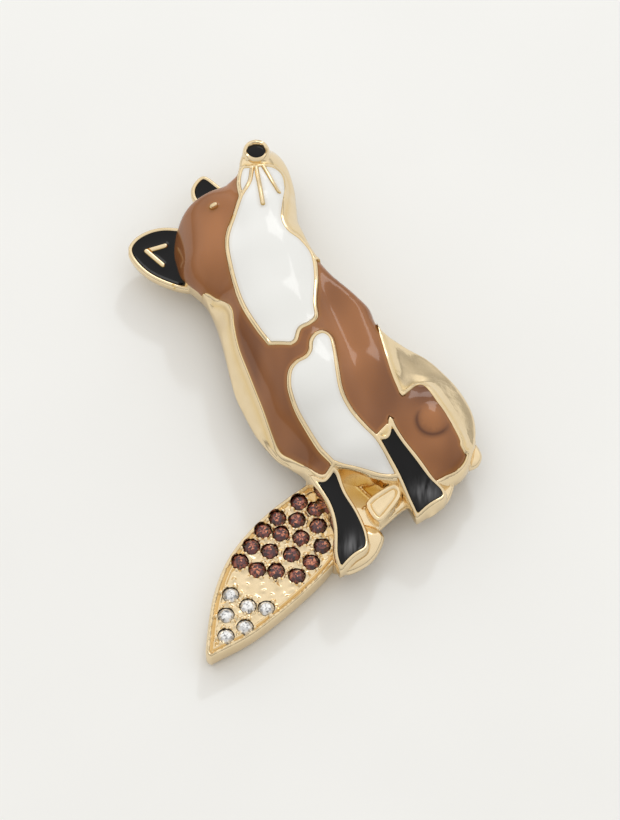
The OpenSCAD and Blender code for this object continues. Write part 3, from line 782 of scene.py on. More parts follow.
wall_lines, rim_lines = [], offsets(tail, (-0.5, -0.56, -0.62, -0.68, -0.75, -0.85, -0.97))
for line in plans:
    for gap in (-0.42, -0.2, -0.08, 0.0, WALL):
        wall_lines += offsets(line, [gap]) if gap else [closed(line)]
rim_lines += offsets(hind_paw, (-0.35, -0.45, -0.55, -0.65, -0.75, -1.0))
for line in (ear_near, ear_far):
    rim_lines += offsets(line, (-EAR_RIM - 0.05, -EAR_RIM, -EAR_RIM * 0.75, -EAR_RIM / 2))
for line in (coat, throat, lip, chest, stocking_right, stocking_left):
    for gap in (-RIM - 0.05, -RIM, -RIM * 0.6, 0.0, RIM * 0.6, RIM, RIM + 0.05):
        moved, good = offset(line, gap) if gap else (line, np.ones(len(line), bool))
        if line is coat:
            good &= is_inside(moved, torso)
            for cell in (throat, chest, lip):
                good &= ~is_inside(moved, cell)
        rim_lines += runs(moved, good)
bars = whiskers + [eye_bar] + ear_wires
rim_lines += rings_round([(ridge, radius) for ridge in RIDGES for radius in (0.04, 0.13, 0.25)],
                         bar_outline)
rim_lines += rings_round([(bar, share * bar_radius(bar)) for bar in bars
                          for share in (0.1, 0.5, 0.8, 1, 1.2)], bar_outline)
rim_lines += rings_round([(centre, wide / 2 + more, 28) for centre, wide in spots
                          for more in (0.03, 0.075, 0.14)], circle)
rim_lines += rings_round([(place / UNIT, radius * share, 10) for place, radius in beads
                          for share in (0.35, 0.7, 0.97)], circle)
oval = circle((0, 0), 1, 32) * np.array([OVAL_W, OVAL_L]) / 2
rim_lines += [closed(oval * share + at(nose_spot)) for share in (0.98, 1.02)]
print("lines kept as edges:", len(wall_lines) + len(rim_lines))

# %% [markdown]
# The dots are closer together where the metal is rough, on the tail and the low metal between the
# legs. Only triangles over some part of the jewel are kept, and the rest of the sheet is thrown away.

# %% Sheet for the top of the casting
PLAIN_STEP, TAIL_STEP, LOW_STEP, CLEAR = 0.42, 0.17, 0.15, 0.1
lines = wall_lines + rim_lines
every = np.vstack(plans)
low, high = every.min(0), every.max(0)


def fine_dots(outlines, step, inset):
    """Dots of a finer lattice over some closed outlines."""
    zone = np.vstack(outlines)
    found = dots(zone.min(0), zone.max(0), step, lines)
    return found[np.min([signed(found, line) for line in outlines], axis=0) < -inset]


loose = dots(low, high, PLAIN_STEP, lines)
rough_zone = np.min([signed(loose, line) for line in (tail, web, foot)], axis=0)
loose = loose[rough_zone > CLEAR]
tail_fine = fine_dots([tail], TAIL_STEP, 0.05)
low_fine = fine_dots([web, foot, hind_paw], LOW_STEP, 0)
low_fine = low_fine[signed(low_fine, tail) > CLEAR]
plan, triangles = fill(lines, np.vstack([loose, tail_fine, low_fine]))
middle = plan[triangles].mean(1)
over = np.zeros(len(middle), bool)
for line in plans:
    over |= is_inside(middle, line)
triangles = triangles[over]
depths = cell_depths(plan)
top_z = casting_top(plan, depths)
print("top of the casting:", len(plan), "points,", len(triangles), "triangles")

# %% [markdown]
# The wall goes down from the rim of the sheet to the back. It is upright at the top and curves inward
# near the back, as a casting does that has to leave its mould. The rows of points move inward
# together, and a point that would cross its neighbours is placed between them instead.

# %% Walls of the casting
HEM, TUCK, WALL_ROWS = 1.0, 0.75, (1.0, 0.62, 0.32, 0.12, 0.0)
loops = edge_loops(triangles)
print("outer edge loops:", [len(loop) for loop in loops])


def moved_in(loop, amount):
    """The loop moved inward, with crossing points placed between their neighbours."""
    line = plan[loop]
    moved, good = offset(line, -1.0)
    moved = line + (moved - line) * amount[:, None]
    good = distance(moved, line) > amount - 0.05
    if good.all() or not good.any():
        return moved
    place = np.arange(len(line))
    for axis in (0, 1):
        moved[:, axis] = np.interp(place, place[good], moved[good, axis], period=len(line))
    return moved


def rows_between(previous, now):
    """Triangles of one ring of wall between two rows of as many points."""
    out = []
    for k, a in enumerate(previous):
        n = (k + 1) % len(now)
        out += [(previous[n], a, now[k]), (previous[n], now[k], now[n])]
    return out


points3 = [np.column_stack([plan, top_z])]
faces = [tuple(f) for f in triangles]
bottom_loops = []
total = len(plan)
for loop in loops:
    line = plan[loop]
    on_tail = (signed(line, tail) < 0.04) & (signed(line, torso) > 0.02)
    foot_z = np.where(on_tail, 0.0, BACK_Z)
    head_z = top_z[loop]
    previous = list(loop)
    for share in WALL_ROWS:
        z = np.minimum(foot_z + HEM * share, head_z - 0.02)
        tuck = TUCK * (1 - math.sqrt(1 - (1 - share) ** 2))
        row = moved_in(loop, np.full(len(loop), tuck)) if tuck else line
        if share == 0.0:
            break
        points3.append(np.column_stack([row, z]))
        now = list(range(total, total + len(loop)))
        total += len(loop)
        faces += rows_between(previous, now)
        previous = now
    bottom_loops.append((previous, row))
print("wall rows added:", total - len(plan), "points")

# %% [markdown]
# The back is a second sheet. It is flat, with a shallow recess that saves metal, and the tail reaches
# lower so that the brooch can lie on it. Where the sheet touches itself in one point only, the
# triangles there are taken away, because a solid can't be pinched, and the seam to the wall closes it.

# %% Back of the casting
def back_height(points):
    """The flat back with its shallow recess, and the tail's underside."""
    deep = signed(points, torso) + BORDER
    height = np.full(len(points), BACK_Z)
    height += RECESS * np.clip(-deep / 0.15, 0, 1)
    in_tail = signed(points, tail) + TUCK
    return np.where(in_tail < 0.0, 0.0, height)


back_lines = [closed(row) for _, row in bottom_loops]
outer = bottom_loops[0][1]
for line, gaps in ((torso, (-BORDER, -BORDER - 0.15)), (tail, (-TUCK, -TUCK + 0.1))):
    for gap in gaps:
        moved, good = offset(line, gap)
        good &= signed(moved, outer) < -0.12
        if line is torso:
            good &= signed(moved, tail) > -TUCK + 0.2
        back_lines += runs(moved, good)
BACK_STEP, BACK_CLEAR = 0.8, 0.3
back_dots = dots(low, high, BACK_STEP, back_lines)
back_dots = back_dots[signed(back_dots, outer) < -BACK_CLEAR]
back_plan, back_faces = fill(back_lines, back_dots)
keep = is_inside(back_plan[back_faces].mean(1), outer)
back_faces = back_faces[keep][:, ::-1]
while True:
    starts = [a for a, b in border_edges(back_faces)]
    pinched = [a for a in set(starts) if starts.count(a) > 1]
    print("pinched points at the back:", len(pinched))
    if not pinched:
        break
    back_faces = back_faces[~np.isin(back_faces, pinched).any(1)]
islands = sum(edge_loops(back_faces)[1:], [])
back_faces = back_faces[~np.isin(back_faces, islands).any(1)]
all_points = np.vstack(points3 + [np.column_stack([back_plan, back_height(back_plan)])])
faces += [tuple(f) for f in back_faces + total]


print("back faces:", len(back_faces))

# %% [markdown]
# The last row of the wall and the edge of the back have different numbers of points. So they are
# joined like a zipper, which always steps on along the side that lags behind.

# %% Close the casting
def zipper(upper, lower, points):
    """Triangles that join two closed loops which run side by side."""
    gap = np.linalg.norm(points[lower][:, :2] - points[upper[0]][:2], axis=1)
    first = int(np.argmin(gap))
    lower = lower[first:] + lower[:first]

    def walked(loop):
        ring = points[loop + loop[:1]][:, :2]
        steps = np.linalg.norm(np.diff(ring, axis=0), axis=1)
        return np.concatenate([[0], np.cumsum(steps)]) / steps.sum()

    far_up, far_low = walked(upper), walked(lower)
    i = j = 0
    out = []
    while i < len(upper) or j < len(lower):
        a, b = upper[i % len(upper)], lower[j % len(lower)]
        if j == len(lower) or (i < len(upper) and far_up[i + 1] <= far_low[j + 1]):
            out.append((upper[(i + 1) % len(upper)], a, b))
            i += 1
        else:
            out.append((a, b, lower[(j + 1) % len(lower)]))
            j += 1
    return out


back_loop = [int(k) + total for k in reversed(edge_loops(back_faces)[0])]
faces += zipper(bottom_loops[0][0], back_loop, all_points)
print("faces of the casting:", len(faces), "open edges:", open_edges(faces))

# %% [markdown]
# A number of painted shade is put on each point: 1 in the foot of a rim or in a pit of the tail, less
# in the low metal between the legs, and a little beside each rim. The gold is painted darker there.

# %% Paint shade in the corners and join the casting
PIT_SHADE, LOW_PIT_SHADE, BESIDE_RIM_SHADE = 0.6, 0.5, 0.3
deepest = np.max(np.stack(list(depths.values())), axis=0)
# Painted shade: darkest in the foot of each rim, then in the pits, the low metal and beside the rims.
rim_foot_shade = np.clip(1 - np.abs(deepest + 0.01) / 0.1, 0, 1)
on_field = (signed(plan, tail) < -0.45) & (signed(plan, torso) > 0)
pit_shade = PIT_SHADE * np.clip((TAIL_T - 0.4 - top_z) / 0.12, 0, 1) * on_field
low_pit_shade = LOW_PIT_SHADE * np.clip((WEB_Z - 0.05 - top_z) / 0.4, 0, 1) * (signed(plan, web) < -0.3)
beside_rim_shade = BESIDE_RIM_SHADE * np.exp(-np.abs(deepest + 2 * RIM) / 0.3) * (signed(plan, torso) < -0.3)
crevice = np.zeros(len(all_points))
crevice[:len(plan)] = np.max([rim_foot_shade, pit_shade, low_pit_shade, beside_rim_shade], axis=0)
cast_metal = make_object("cast_metal", all_points, faces, crevice=crevice)
print("share of points in corners:", round(float((crevice > BESIDE_RIM_SHADE).mean()), 3))

# %% [markdown]
# ## Enamel
# Each enamel is poured liquid and then fired or cured, so it lies a little below the rims in the
# middle and climbs up them at its edge. Each cell gets its own closed body that dips under the rim's
# foot, so no gap can show.

# %% Height and painted light of the enamels
LAP, ENAMEL_DOWN, ENAMEL_THICK = 0.03, 0.15, 0.42
THIGH, DOME_UP, DOME_R, DOME_RINGS = [22.3, -7.3], 0.42, 2.1, (1.35, 1.6, 1.85, 2.1)
# Painted shade darkens the brown round the haunch, and painted highlights lighten the black round the
# dents.
HAUNCH_SHADE_SPOT, HAUNCH_SHADE_R = [20.5, -2], 2.4
DENT_AND_SHEEN_SPOTS, SHEEN_R, DENT, DENT_R = [[21.2, -19.8], [8, -30.2]], 1.1, 0.14, 0.8
CRESCENT_R, CRESCENT_W = 1.6, 0.24


def enamel_top(name, points, depth):
    """Height of the enamel: below the rims, and climbing them at its edge."""
    base = EAR_Z if name.startswith("ear") else front(points)
    hollow = name.startswith(("ear", "stocking"))
    climb = (0.1 if hollow else 0.03) * np.exp(-np.maximum(depth, 0) / (0.3 if hollow else 0.12))
    height = base - ENAMEL_DOWN + climb + 0.004 * bumps(points, 3.2, 21)
    if name == "coat":
        height -= rolled_off(points)
        height += DOME_UP * np.clip(1 - (from_spot(points, THIGH) / DOME_R) ** 2, 0, 1) ** 1.5
    for spot in DENT_AND_SHEEN_SPOTS if name.startswith("stocking") else []:
        height -= DENT * hump(from_spot(points, spot), DENT_R)
    return height


def enamel_shade(name, points):
    """Painted shade on the brown round the haunch, and painted highlights on the black near the feet.
    """
    total = np.zeros(len(points))
    if name == "coat":
        # Painted shade: darker round the haunch but not on its dome, and a dark crescent on its low
        # side.
        off = points - at(THIGH)
        away = from_spot(points, THIGH)
        low_side_shade = np.clip(0.5 - 1.2 * (off @ np.array([0.45, 0.89])) / np.maximum(away, 0.1), 0, 1)
        haunch_shade = 0.9 * hump(from_spot(points, HAUNCH_SHADE_SPOT), HAUNCH_SHADE_R)
        total += haunch_shade * np.clip(away / CRESCENT_R - 0.3, 0, 1)
        total += low_side_shade * hump(away - CRESCENT_R, CRESCENT_W)
    # Painted highlight on the black round each dent near the feet.
    for spot in DENT_AND_SHEEN_SPOTS if name.startswith("stocking") else []:
        total += hump(from_spot(points, spot), SHEEN_R)
    return total


print("dome on the haunch in mm:", DOME_UP)

# %% [markdown]
# The outlines of a cell are drawn at four distances from the foot of its rims, so that the climb at
# the edge is smooth. One sheet between them gives the top and, a little lower, the bottom.

# %% Drawing of a cell
cell_lines = {
    "coat": [coat, throat, lip, chest, stocking_right, stocking_left, torso],
    "throat": [throat], "lip": [lip], "chest": [chest], "stocking_right": [stocking_right],
    "stocking_left": [stocking_left], "ear_near": [ear_near, torso], "ear_far": [ear_far, torso]}
cell_bars = {"throat": whiskers, "coat": [eye_bar], "ear_near": ear_wires}
CLIMB_STEPS, ENAMEL_STEP, RIM_SHADE, DEEPEST = (-LAP, 0.05, 0.15, 0.32), 0.36, 1.2, 0.9


def cell_drawing(name, outlines, step):
    """The lines of one cell at one distance from the foot of its rims."""
    found = []
    for line in outlines:
        if line is torso:
            gap = -step - 0.02 if name == "coat" else step - 0.1
        elif line is outlines[0]:
            gap = -(EAR_RIM if name.startswith("ear") else RIM) - step
        else:
            gap = RIM + step
        moved, good = offset(line, gap)
        depth = cell_depths(moved)[name]
        good &= depth > step if line is torso and name == "coat" else np.abs(depth - step) < 0.03
        if name == "coat":
            good &= signed(moved, torso) < 0.04
        found += runs(moved, good)
    for bar in cell_bars.get(name, ()):
        ring = bar_outline(bar, bar_radius(bar) + step)
        found += runs(ring, np.abs(cell_depths(ring)[name] - step) < 0.03)
    return found


print("distances drawn in each cell:", CLIMB_STEPS)

# %% [markdown]
# Each cell is filled with triangles. Only those inside its rims are kept, and become one closed body.

# %% Pour the enamels
enamels = {}
for name, outlines in cell_lines.items():
    inner_lines = [run for step in CLIMB_STEPS for run in cell_drawing(name, outlines, step)]
    if name == "coat":
        inner_lines += [closed(circle(THIGH, radius, 36)) for radius in DOME_RINGS]
    stretch = outlines[0]
    loose = dots(stretch.min(0), stretch.max(0), ENAMEL_STEP, inner_lines)
    sheet_plan, sheet_faces = fill(inner_lines, loose)
    centre = sheet_plan[sheet_faces].mean(1)
    keep = cell_depths(centre)[name] > -LAP
    depth = cell_depths(sheet_plan)[name]
    if name == "coat":
        keep &= signed(centre, torso) < 0.02
        depth = np.minimum(depth, DEEPEST)
    top = enamel_top(name, sheet_plan, depth)
    body, body_faces, used = slab(sheet_plan, sheet_faces[keep], top, top - ENAMEL_THICK)
    rim_near = np.clip(depth[used] / RIM_SHADE, 0, 1)
    # Painted shade on the brown and painted highlights on the black.
    shade = enamel_shade(name, sheet_plan[used])
    enamels[name] = make_object("enamel_" + name + "_poured", body, body_faces, sharp=50,
                                inset=np.tile(rim_near, 2), shade=np.tile(shade, 2))
    print(name, "enamel:", len(body_faces), "faces, open edges:",
          open_edges([tuple(f) for f in body_faces]))

# %% [markdown]
# The black of the nose is a small oval drop on the round metal nose. A grid of rings is enough for it.

# %% Nose drop
DROP_Z, DROP_RISE, DROP_DEEP = NOSE_TOP - 0.32, 0.1, 0.31
rings, around, edge = 6, 32, 1.02
turns = np.arange(around) * 2 * math.pi / around
oval = np.stack([OVAL_W / 2 * np.cos(turns), OVAL_L / 2 * np.sin(turns)], 1)
nose_centre = at(nose_spot)


def drop_ring(share, z):
    """One oval ring of the drop."""
    return np.column_stack([nose_centre + share * oval, np.full(around, z)])


shares = edge * (1 - np.arange(rings) / rings)
rises = DROP_RISE * np.sqrt(1 - (shares / edge) ** 2)
drop_points = [drop_ring(share, DROP_Z + rise) for share, rise in zip(shares, rises)]
drop_points += [[(*nose_centre, DROP_Z + DROP_RISE)], drop_ring(edge, DROP_Z - DROP_DEEP),
                [(*nose_centre, DROP_Z - DROP_DEEP)]]
drop_points = np.vstack(drop_points)
tip, foot_start = rings * around, rings * around + 1
drop_faces = []
for k in range(around):
    n = (k + 1) % around
    for start in range(0, tip - around, around):
        a, b = start + k, start + n
        drop_faces += [(a, b, b + around), (a, b + around, a + around)]
    drop_faces += [(tip - around + k, tip - around + n, tip), (n, k, foot_start + k),
                   (n, foot_start + k, foot_start + n),
                   (foot_start + n, foot_start + k, foot_start + around)]
enamels["nose"] = make_object("enamel_nose_poured", drop_points, drop_faces, sharp=50,
                              inset=np.full(len(drop_points), 0.5))
print("nose drop, open edges:", open_edges(drop_faces))

# %% [markdown]
# ## Cut stones
# The stones are small round brilliants: a flat table, a ring of crown facets, a thin girdle and a
# pointed back. A brilliant cut has 8 main crown facets with smaller ones round them, and they flash
# because each faces another way. Each facet also gets a random number, larger near the middle, which
# paints a flash of light from the foil behind it into the colour, brighter on some facets than others.
# Radii are shares of the stone's radius, and the heights of crown and back are shares of its width.

# %% Cut a stone
TABLE, STAR, INNER, LOWER = 0.58, 0.8, 0.26, 0.5
CROWN_UP, STAR_UP, LOWER_DOWN, POINT_DOWN = 0.2, 0.52, 0.21, 0.43
BAND_LOW, BAND_HIGH, BAND_UP = 0.02, 0.08, 0.1


def cut_stone(name, spot, wide, seed):
    """A round brilliant with 8 kite facets, 8 star facets, 16 girdle facets and 16 back facets."""
    chance = np.random.default_rng(seed)
    radius = wide / 2
    turn0 = chance.uniform(0, math.pi / 4)
    centre = at(spot)

    def ring(share, z, count, shift):
        turns = turn0 + (np.arange(count) + shift) * 2 * math.pi / count
        return [(centre[0] + radius * share * math.cos(t), centre[1] + radius * share * math.sin(t), z)
                for t in turns]

    crown = wide * CROWN_UP
    top = GIRDLE + BAND_UP + crown
    points = ring(TABLE, top, 8, 0) + ring(STAR, GIRDLE + BAND_UP + crown * STAR_UP, 8, 0.5)
    points += ring(1, GIRDLE + BAND_HIGH, 16, 0) + ring(1, GIRDLE + BAND_LOW, 16, 0)
    points += ring(LOWER, GIRDLE - wide * LOWER_DOWN, 8, 0)
    points += [(*centre, GIRDLE - wide * POINT_DOWN)] + ring(INNER, top, 8, 0.5) + [(*centre, top)]
    cut = []
    for k in range(8):
        n = (k + 1) % 8
        cut += [(k, n, 57 + k), (57 + k, n, 57 + n), (57 + k, 57 + n, 65)]
        g = 16 + 2 * k
        g1, g2, g3 = g, g + 1, 16 + (2 * k + 2) % 16
        cut += [(k, 8 + k, n), (8 + k, g1, g2), (8 + k, g2, g3)]
        cut += [(n, 8 + k, g3), (n, g3, 8 + n)]
        b = 32 + 2 * k
        b1, b2, b3 = b, b + 1, 32 + (2 * k + 2) % 16
        cut += [(g2, g1, b1, b2), (g3, g2, b2, b3)]
        cut += [(b2, b1, 48 + k), (b3, b2, 48 + n), (48 + n, b2, 48 + k), (48 + n, 48 + k, 56)]
    mesh = bpy.data.meshes.new(name)
    moved = np.array(points)
    moved[:, :2] += SHIFT
    mesh.from_pydata(moved / 1000, [], cut)
    mesh.validate()
    # Painted flashes: each facet gets a random brightness, higher near the middle of the stone.
    flash = mesh.attributes.new("flash", "FLOAT", "FACE")
    middles = np.array([p.center[:2] for p in mesh.polygons]) * 1000 - centre - SHIFT
    outward = np.clip(np.linalg.norm(middles, axis=1) / radius, 0, 1)
    gleam = chance.uniform(0, 1, len(mesh.polygons)) * (1.25 - 0.5 * outward)
    flash.data.foreach_set("value", np.clip(gleam, 0, 1).astype(np.float32))
    return add_object(name, mesh), cut


print("height of a brown stone's table in mm:", round(GIRDLE + BAND_UP + BROWN_D * CROWN_UP, 2))

# %% [markdown]
# Each stone is turned by another angle, and its facets flash differently, as on the real tail.

# %% Set the stones
stones = []
for colour, places, wide, seed in (("brown", brown_spots, BROWN_D, 0),
                                   ("clear", clear_spots, CLEAR_D, 40)):
    for k, place in enumerate(places):
        piece, cut = cut_stone(f"{colour}_brilliant_{k + 1}", place, wide, seed + k)
        stones.append((piece, f"stone_{colour}_{k + 1}", f"stone_{colour}"))
print("stones cut:", len(stones), "open edges of one:", open_edges(cut))

# %% [markdown]
# ## Finishes
# Plated metal is never one colour: its tone changes a little at random, and painted shade makes it
# deeper yellow and darker in the corners. Enamel is a clear glossy layer over colour. All finishes are
# built from shader nodes, and read the numbers painted on the meshes.

# %% Start a material
def new_material(name):
    """An empty material with one surface shader."""
    material = bpy.data.materials.new(name)
    material.use_nodes = True
    tree = material.node_tree
    tree.nodes.clear()
    output = tree.nodes.new("ShaderNodeOutputMaterial")
    shader = tree.nodes.new("ShaderNodeBsdfPrincipled")
    tree.links.new(shader.outputs[0], output.inputs[0])
    return material, tree, shader


def tune(node, **values):
    """Sets sockets of a node by their names, with _ for each space."""
    for label, value in values.items():
        node.inputs[label.replace("_", " ")].default_value = value


print("material helper ready")

# %% [markdown]
# The nodes of a finish are few: noise, a painted number, a ramp of colours, a range, a sum or product,
# two colours over each other, and a bump. One helper for each keeps the finishes easy to read.

# %% Helpers for nodes
def noise(tree, scale, detail=3.0, stretch=None):
    """Noise over the object's own place, in features per metre."""
    where = tree.nodes.new("ShaderNodeTexCoord")
    texture = tree.nodes.new("ShaderNodeTexNoise")
    tune(texture, Scale=scale, Detail=detail)
    source = where.outputs["Object"]
    if stretch:
        mapping = tree.nodes.new("ShaderNodeMapping")
        tune(mapping, Scale=stretch[:3], Rotation=(0, 0, stretch[3]))
        tree.links.new(source, mapping.inputs["Vector"])
        source = mapping.outputs[0]
    tree.links.new(source, texture.inputs["Vector"])
    return texture.outputs["Fac"]


def painted(tree, label):
    """A number painted on the mesh, read by its name."""
    reader = tree.nodes.new("ShaderNodeAttribute")
    reader.attribute_name = label
    return reader.outputs["Fac"]


def ramp(tree, source, stops):
    """Turns a number into a colour, from stops of a place and a colour."""
    node = tree.nodes.new("ShaderNodeValToRGB")
    while len(node.color_ramp.elements) < len(stops):
        node.color_ramp.elements.new(0.5)
    for element, (place, colour) in zip(node.color_ramp.elements, stops):
        element.position = place
        element.color = (*colour, 1)
    tree.links.new(source, node.inputs[0])
    return node.outputs[0]


def level(tree, source, low, high, start=0, end=1):
    """Maps start to end onto low to high."""
    node = tree.nodes.new("ShaderNodeMapRange")
    tune(node, From_Min=start, From_Max=end, To_Min=low, To_Max=high)
    tree.links.new(source, node.inputs["Value"])
    return node.outputs[0]


def feed(tree, socket, value):
    """Links another node's output into a socket, or sets the socket to a plain number or colour."""
    if isinstance(value, bpy.types.NodeSocket):
        tree.links.new(value, socket)
    else:
        socket.default_value = value


def calculate(tree, operation, *values):
    """A sum or a product of outputs and plain numbers."""
    node = tree.nodes.new("ShaderNodeMath")
    node.operation = operation
    for socket, value in zip(node.inputs, values):
        feed(tree, socket, value)
    return node.outputs[0]


def blended(tree, way, amount, first, second):
    """Two colours laid over each other."""
    node = tree.nodes.new("ShaderNodeMix")
    node.data_type = "RGBA"
    node.blend_type = way
    for place, value in ((0, amount), (6, first), (7, second)):
        feed(tree, node.inputs[place], value)
    return node.outputs[2]


def bump(tree, shader, source, strength, depth):
    """Small unevenness, with its depth in metres."""
    node = tree.nodes.new("ShaderNodeBump")
    tune(node, Strength=strength, Distance=depth)
    tree.links.new(source, node.inputs["Height"])
    tree.links.new(node.outputs[0], shader.inputs["Normal"])


print("finish helpers ready")

# %% [markdown]
# Gold plating: a pale yellow metal with fine scratches, a slightly wavy surface, less shine in the
# corners, and painted shade that makes the corners more yellow and darker.

# %% Gold plating
GOLD_DEEP, GOLD_PALE = (0.83, 0.67, 0.43), (0.87, 0.71, 0.47)
# Painted shade in the corners: white leaves the gold as it is, deeper yellow and dark brown darken it.
CORNER_SHADE_COLOURS = [(0.1, (1, 1, 1)), (0.5, (0.9, 0.78, 0.42)), (1.0, (0.4, 0.29, 0.13))]


def gold_finish(name, rough_low, rough_high):
    """Gold plating between two roughnesses, with painted shade in the corners."""
    material, tree, shader = new_material(name)
    colour = ramp(tree, noise(tree, 900, 4), [(0.3, GOLD_DEEP), (0.7, GOLD_PALE)])
    # Painted shade, multiplied into the gold's colour.
    corner_shade_colour = ramp(tree, painted(tree, "crevice"), CORNER_SHADE_COLOURS)
    tree.links.new(blended(tree, "MULTIPLY", 1, colour, corner_shade_colour), shader.inputs["Base Color"])
    tune(shader, Metallic=1)
    scratches = noise(tree, 2500, 2, (1, 0.08, 1, 0.6))
    rough = level(tree, scratches, rough_low, rough_high)
    dull = calculate(tree, "MULTIPLY_ADD", painted(tree, "crevice"), 0.2, rough)
    tree.links.new(dull, shader.inputs["Roughness"])
    bump(tree, shader, noise(tree, 1400, 3), 0.04, 0.0002)
    return material


gold = gold_finish("gold_plating", 0.07, 0.16)
pin_gold = gold_finish("pin_plating", 0.18, 0.36)
print("gold ready")

# %% [markdown]
# Enamel: a coloured body under a hard clear skin. The brown one has a faint pearl in slow streaks, and
# turns orange where it is thin, near the rims. Painted shade multiplies it darker over the haunch. The
# black one has painted highlights, mixed in as fine grey strokes near the feet.

# %% Enamels
def enamel_finish(name, deep, streak, thin, shade, way="MULTIPLY", pearl=0.0, gloss=1.5):
    """Glossy enamel from its colours in the depth, in a streak, where thin, and of its painted light.
    """
    material, tree, shader = new_material(name)
    flow = noise(tree, 160, 2, (1, 0.35, 1, -0.35))
    body = ramp(tree, flow, [(0.3, deep), (0.64, streak)])
    edge = ramp(tree, painted(tree, "inset"), [(0.0, (1, 1, 1)), (0.3, (0, 0, 0))])
    colour = blended(tree, "MIX", edge, body, (*thin, 1))
    # Painted light: shade multiplied into the brown, grey highlight strokes mixed into the black.
    amount = painted(tree, "shade")
    if way == "MIX":
        sheen_strokes = noise(tree, 1500, 2, (1, 0.12, 1, 0.5))
        sheen_strokes = ramp(tree, sheen_strokes, [(0.35, (0, 0, 0)), (0.75, (1, 1, 1))])
        amount = calculate(tree, "MULTIPLY", amount, sheen_strokes)
    colour = blended(tree, way, amount, colour, (*shade, 1))
    tree.links.new(colour, shader.inputs["Base Color"])
    tune(shader, Metallic=pearl, Roughness=0.35, Specular_IOR_Level=0, Coat_Weight=1,
         Coat_Roughness=0.08, Coat_IOR=gloss)
    bump(tree, shader, noise(tree, 260, 1), 0.02, 0.0004)
    return material


# The last colour is the painted light: shade for the brown, none for the white, highlights for the
# black.
brown = enamel_finish("brown_enamel", (0.19, 0.066, 0.019), (0.36, 0.14, 0.045), (0.32, 0.125, 0.03),
                      (0.35, 0.28, 0.25), pearl=0.15)
white = enamel_finish("white_enamel", (0.79, 0.79, 0.77), (0.82, 0.82, 0.81), (0.74, 0.72, 0.68),
                      (1, 1, 1))
black = enamel_finish("black_enamel", (0.002, 0.002, 0.003), (0.004, 0.004, 0.005),
                      (0.003, 0.003, 0.003), (0.22, 0.22, 0.23), way="MIX", gloss=1.32)
print("enamels ready")

# %% [markdown]
# Foiled glass: a dark or clear glass whose facets flash differently. Real refraction needs many
# light paths for stones this small, so the flashes are part of the colour under a glassy coat.

# %% Stones
def stone_finish(name, stops, metal):
    """Foiled glass from the colours of its darkest to its brightest facets."""
    material, tree, shader = new_material(name)
    tree.links.new(ramp(tree, painted(tree, "flash"), stops), shader.inputs["Base Color"])
    tune(shader, Metallic=metal, Roughness=0.08, Coat_Weight=1, Coat_Roughness=0.02)
    return material


topaz = stone_finish("topaz_glass", [(0.0, (0.02, 0.004, 0.007)), (0.45, (0.07, 0.012, 0.018)),
                                     (0.75, (0.25, 0.05, 0.035)), (1.0, (0.75, 0.27, 0.14))], 0.3)
crystal = stone_finish("crystal_glass", [(0.0, (0.2, 0.2, 0.21)), (0.3, (0.62, 0.62, 0.63)),
                                         (0.6, (0.85, 0.85, 0.86)), (1.0, (1, 1, 1))], 0.5)
print("stones ready")

# %% [markdown]
# ## Put it together
# Every piece now gets its finish and its body to ride on, and the imported part that it stands for is
# hidden.

# %% Assign finishes and parts
def dress(piece, material, node):
    """Gives a piece its finish, hangs it on the root body and hides the imported part it stands for."""
    piece.data.materials.clear()
    piece.data.materials.append(material)
    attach(piece, "root")
    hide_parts(node)


dress(cast_metal, gold, "casting")
colours = {"coat": brown, "throat": white, "lip": white, "chest": white}
for name, piece in enamels.items():
    material = colours.get(name, black)
    slot = {brown: "enamel_brown", white: "enamel_white", black: "enamel_black"}[material]
    dress(piece, material, "enamel_" + name)
for piece, node, slot in stones:
    dress(piece, topaz if slot == "stone_brown" else crystal, node)
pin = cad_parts["pin_back"]
pin.data.materials.clear()
pin.data.materials.append(pin_gold)
print("pieces dressed:", 1 + len(enamels) + len(stones))

# %% [markdown]
# ## Floor and light
# The jewel lies on a plain pale board, with a faint unevenness of its colour.

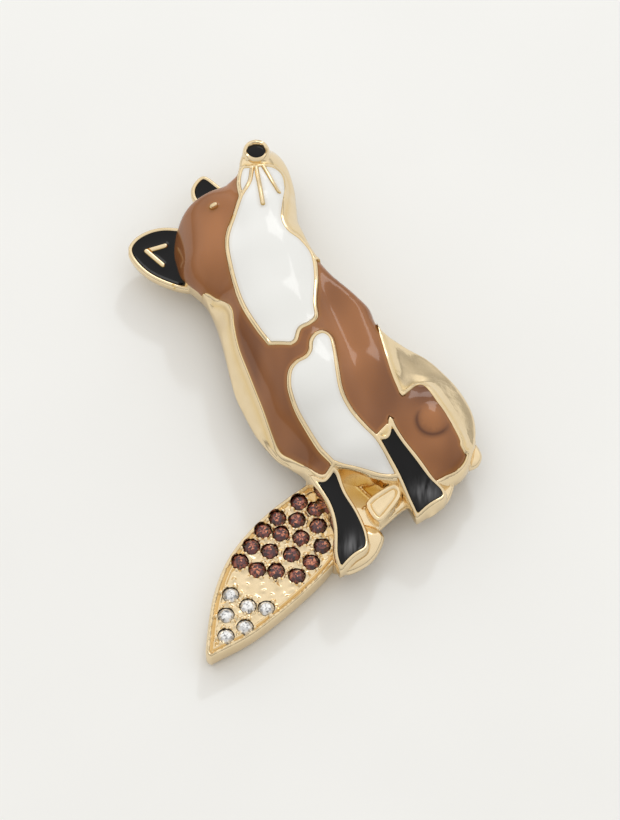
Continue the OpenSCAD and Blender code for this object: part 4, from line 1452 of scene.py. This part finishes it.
# %% Floor
floor_mesh = bpy.data.meshes.new("board")
REACH = 1.5
corners = [(-REACH, -REACH, 0), (REACH, -REACH, 0), (REACH, REACH, 0), (-REACH, REACH, 0)]
floor_mesh.from_pydata(corners, [], [(0, 1, 2, 3)])
floor = add_object("board", floor_mesh)
board, tree, shader = new_material("pale_board")
paper = ramp(tree, noise(tree, 40, 2),
             [(0.3, (0.85, 0.85, 0.84)), (0.7, (0.87, 0.87, 0.86))])
tree.links.new(paper, shader.inputs["Base Color"])
tune(shader, Roughness=0.6)
floor_mesh.materials.append(board)
print("floor in metres:", 2 * REACH)

# %% [markdown]
# A small hard lamp behind the jewel draws the shadows. It is hidden from reflections, because it would
# burn small dots into the enamel. A larger screen beside it gives the soft sheen, and a weak wide lamp
# on the left keeps the shadows pale.

# %% Lamps
def lamp(name, place, size, power, colour=(1, 1, 1)):
    """A flat lamp that points at the jewel, with its size in metres and its power in watts."""
    data = bpy.data.lights.new(name, "AREA")
    data.shape = "RECTANGLE"
    data.size, data.size_y = size
    data.energy = power
    data.color = colour
    light = add_object(name, data)
    light.location = place
    light.rotation_euler = (-Vector(place)).to_track_quat("-Z", "Y").to_euler()
    return light


key = lamp("back_right_lamp", (0.12, 0.5, 0.36), (0.045, 0.045), 0.55, (0.8, 0.91, 1.0))
screen = lamp("back_right_screen", (0.13, 0.54, 0.4), (0.22, 0.22), 0.32)
fill_in = lamp("back_left_lamp", (-0.42, 0.4, 0.24), (0.6, 0.3), 0.25)
key.visible_glossy = fill_in.visible_glossy = False
print("lamps:", key.name, screen.name, fill_in.name)

# %% [markdown]
# Gold shows little but what it mirrors. So the surroundings are brighter at the back and darker near
# the horizon, which gives it contrast.

# %% Surroundings
world = bpy.data.worlds.new("studio")
bpy.context.scene.world = world
world.use_nodes = True
tree = world.node_tree
where = tree.nodes.new("ShaderNodeTexCoord")
parts = tree.nodes.new("ShaderNodeSeparateXYZ")
tree.links.new(where.outputs["Generated"], parts.inputs[0])
sky = level(tree, parts.outputs["Y"], 0.72, 1.14, -1, 1)
haze = level(tree, parts.outputs["Z"], 0.45, 1, 0.05, 0.35)
tree.links.new(calculate(tree, "MULTIPLY", sky, haze), tree.nodes["Background"].inputs[1])
tree.nodes["Background"].inputs[0].default_value = (1.0, 0.98, 0.94, 1)
bpy.context.scene.view_settings.view_transform = "Standard"
print("surroundings:", world.name)
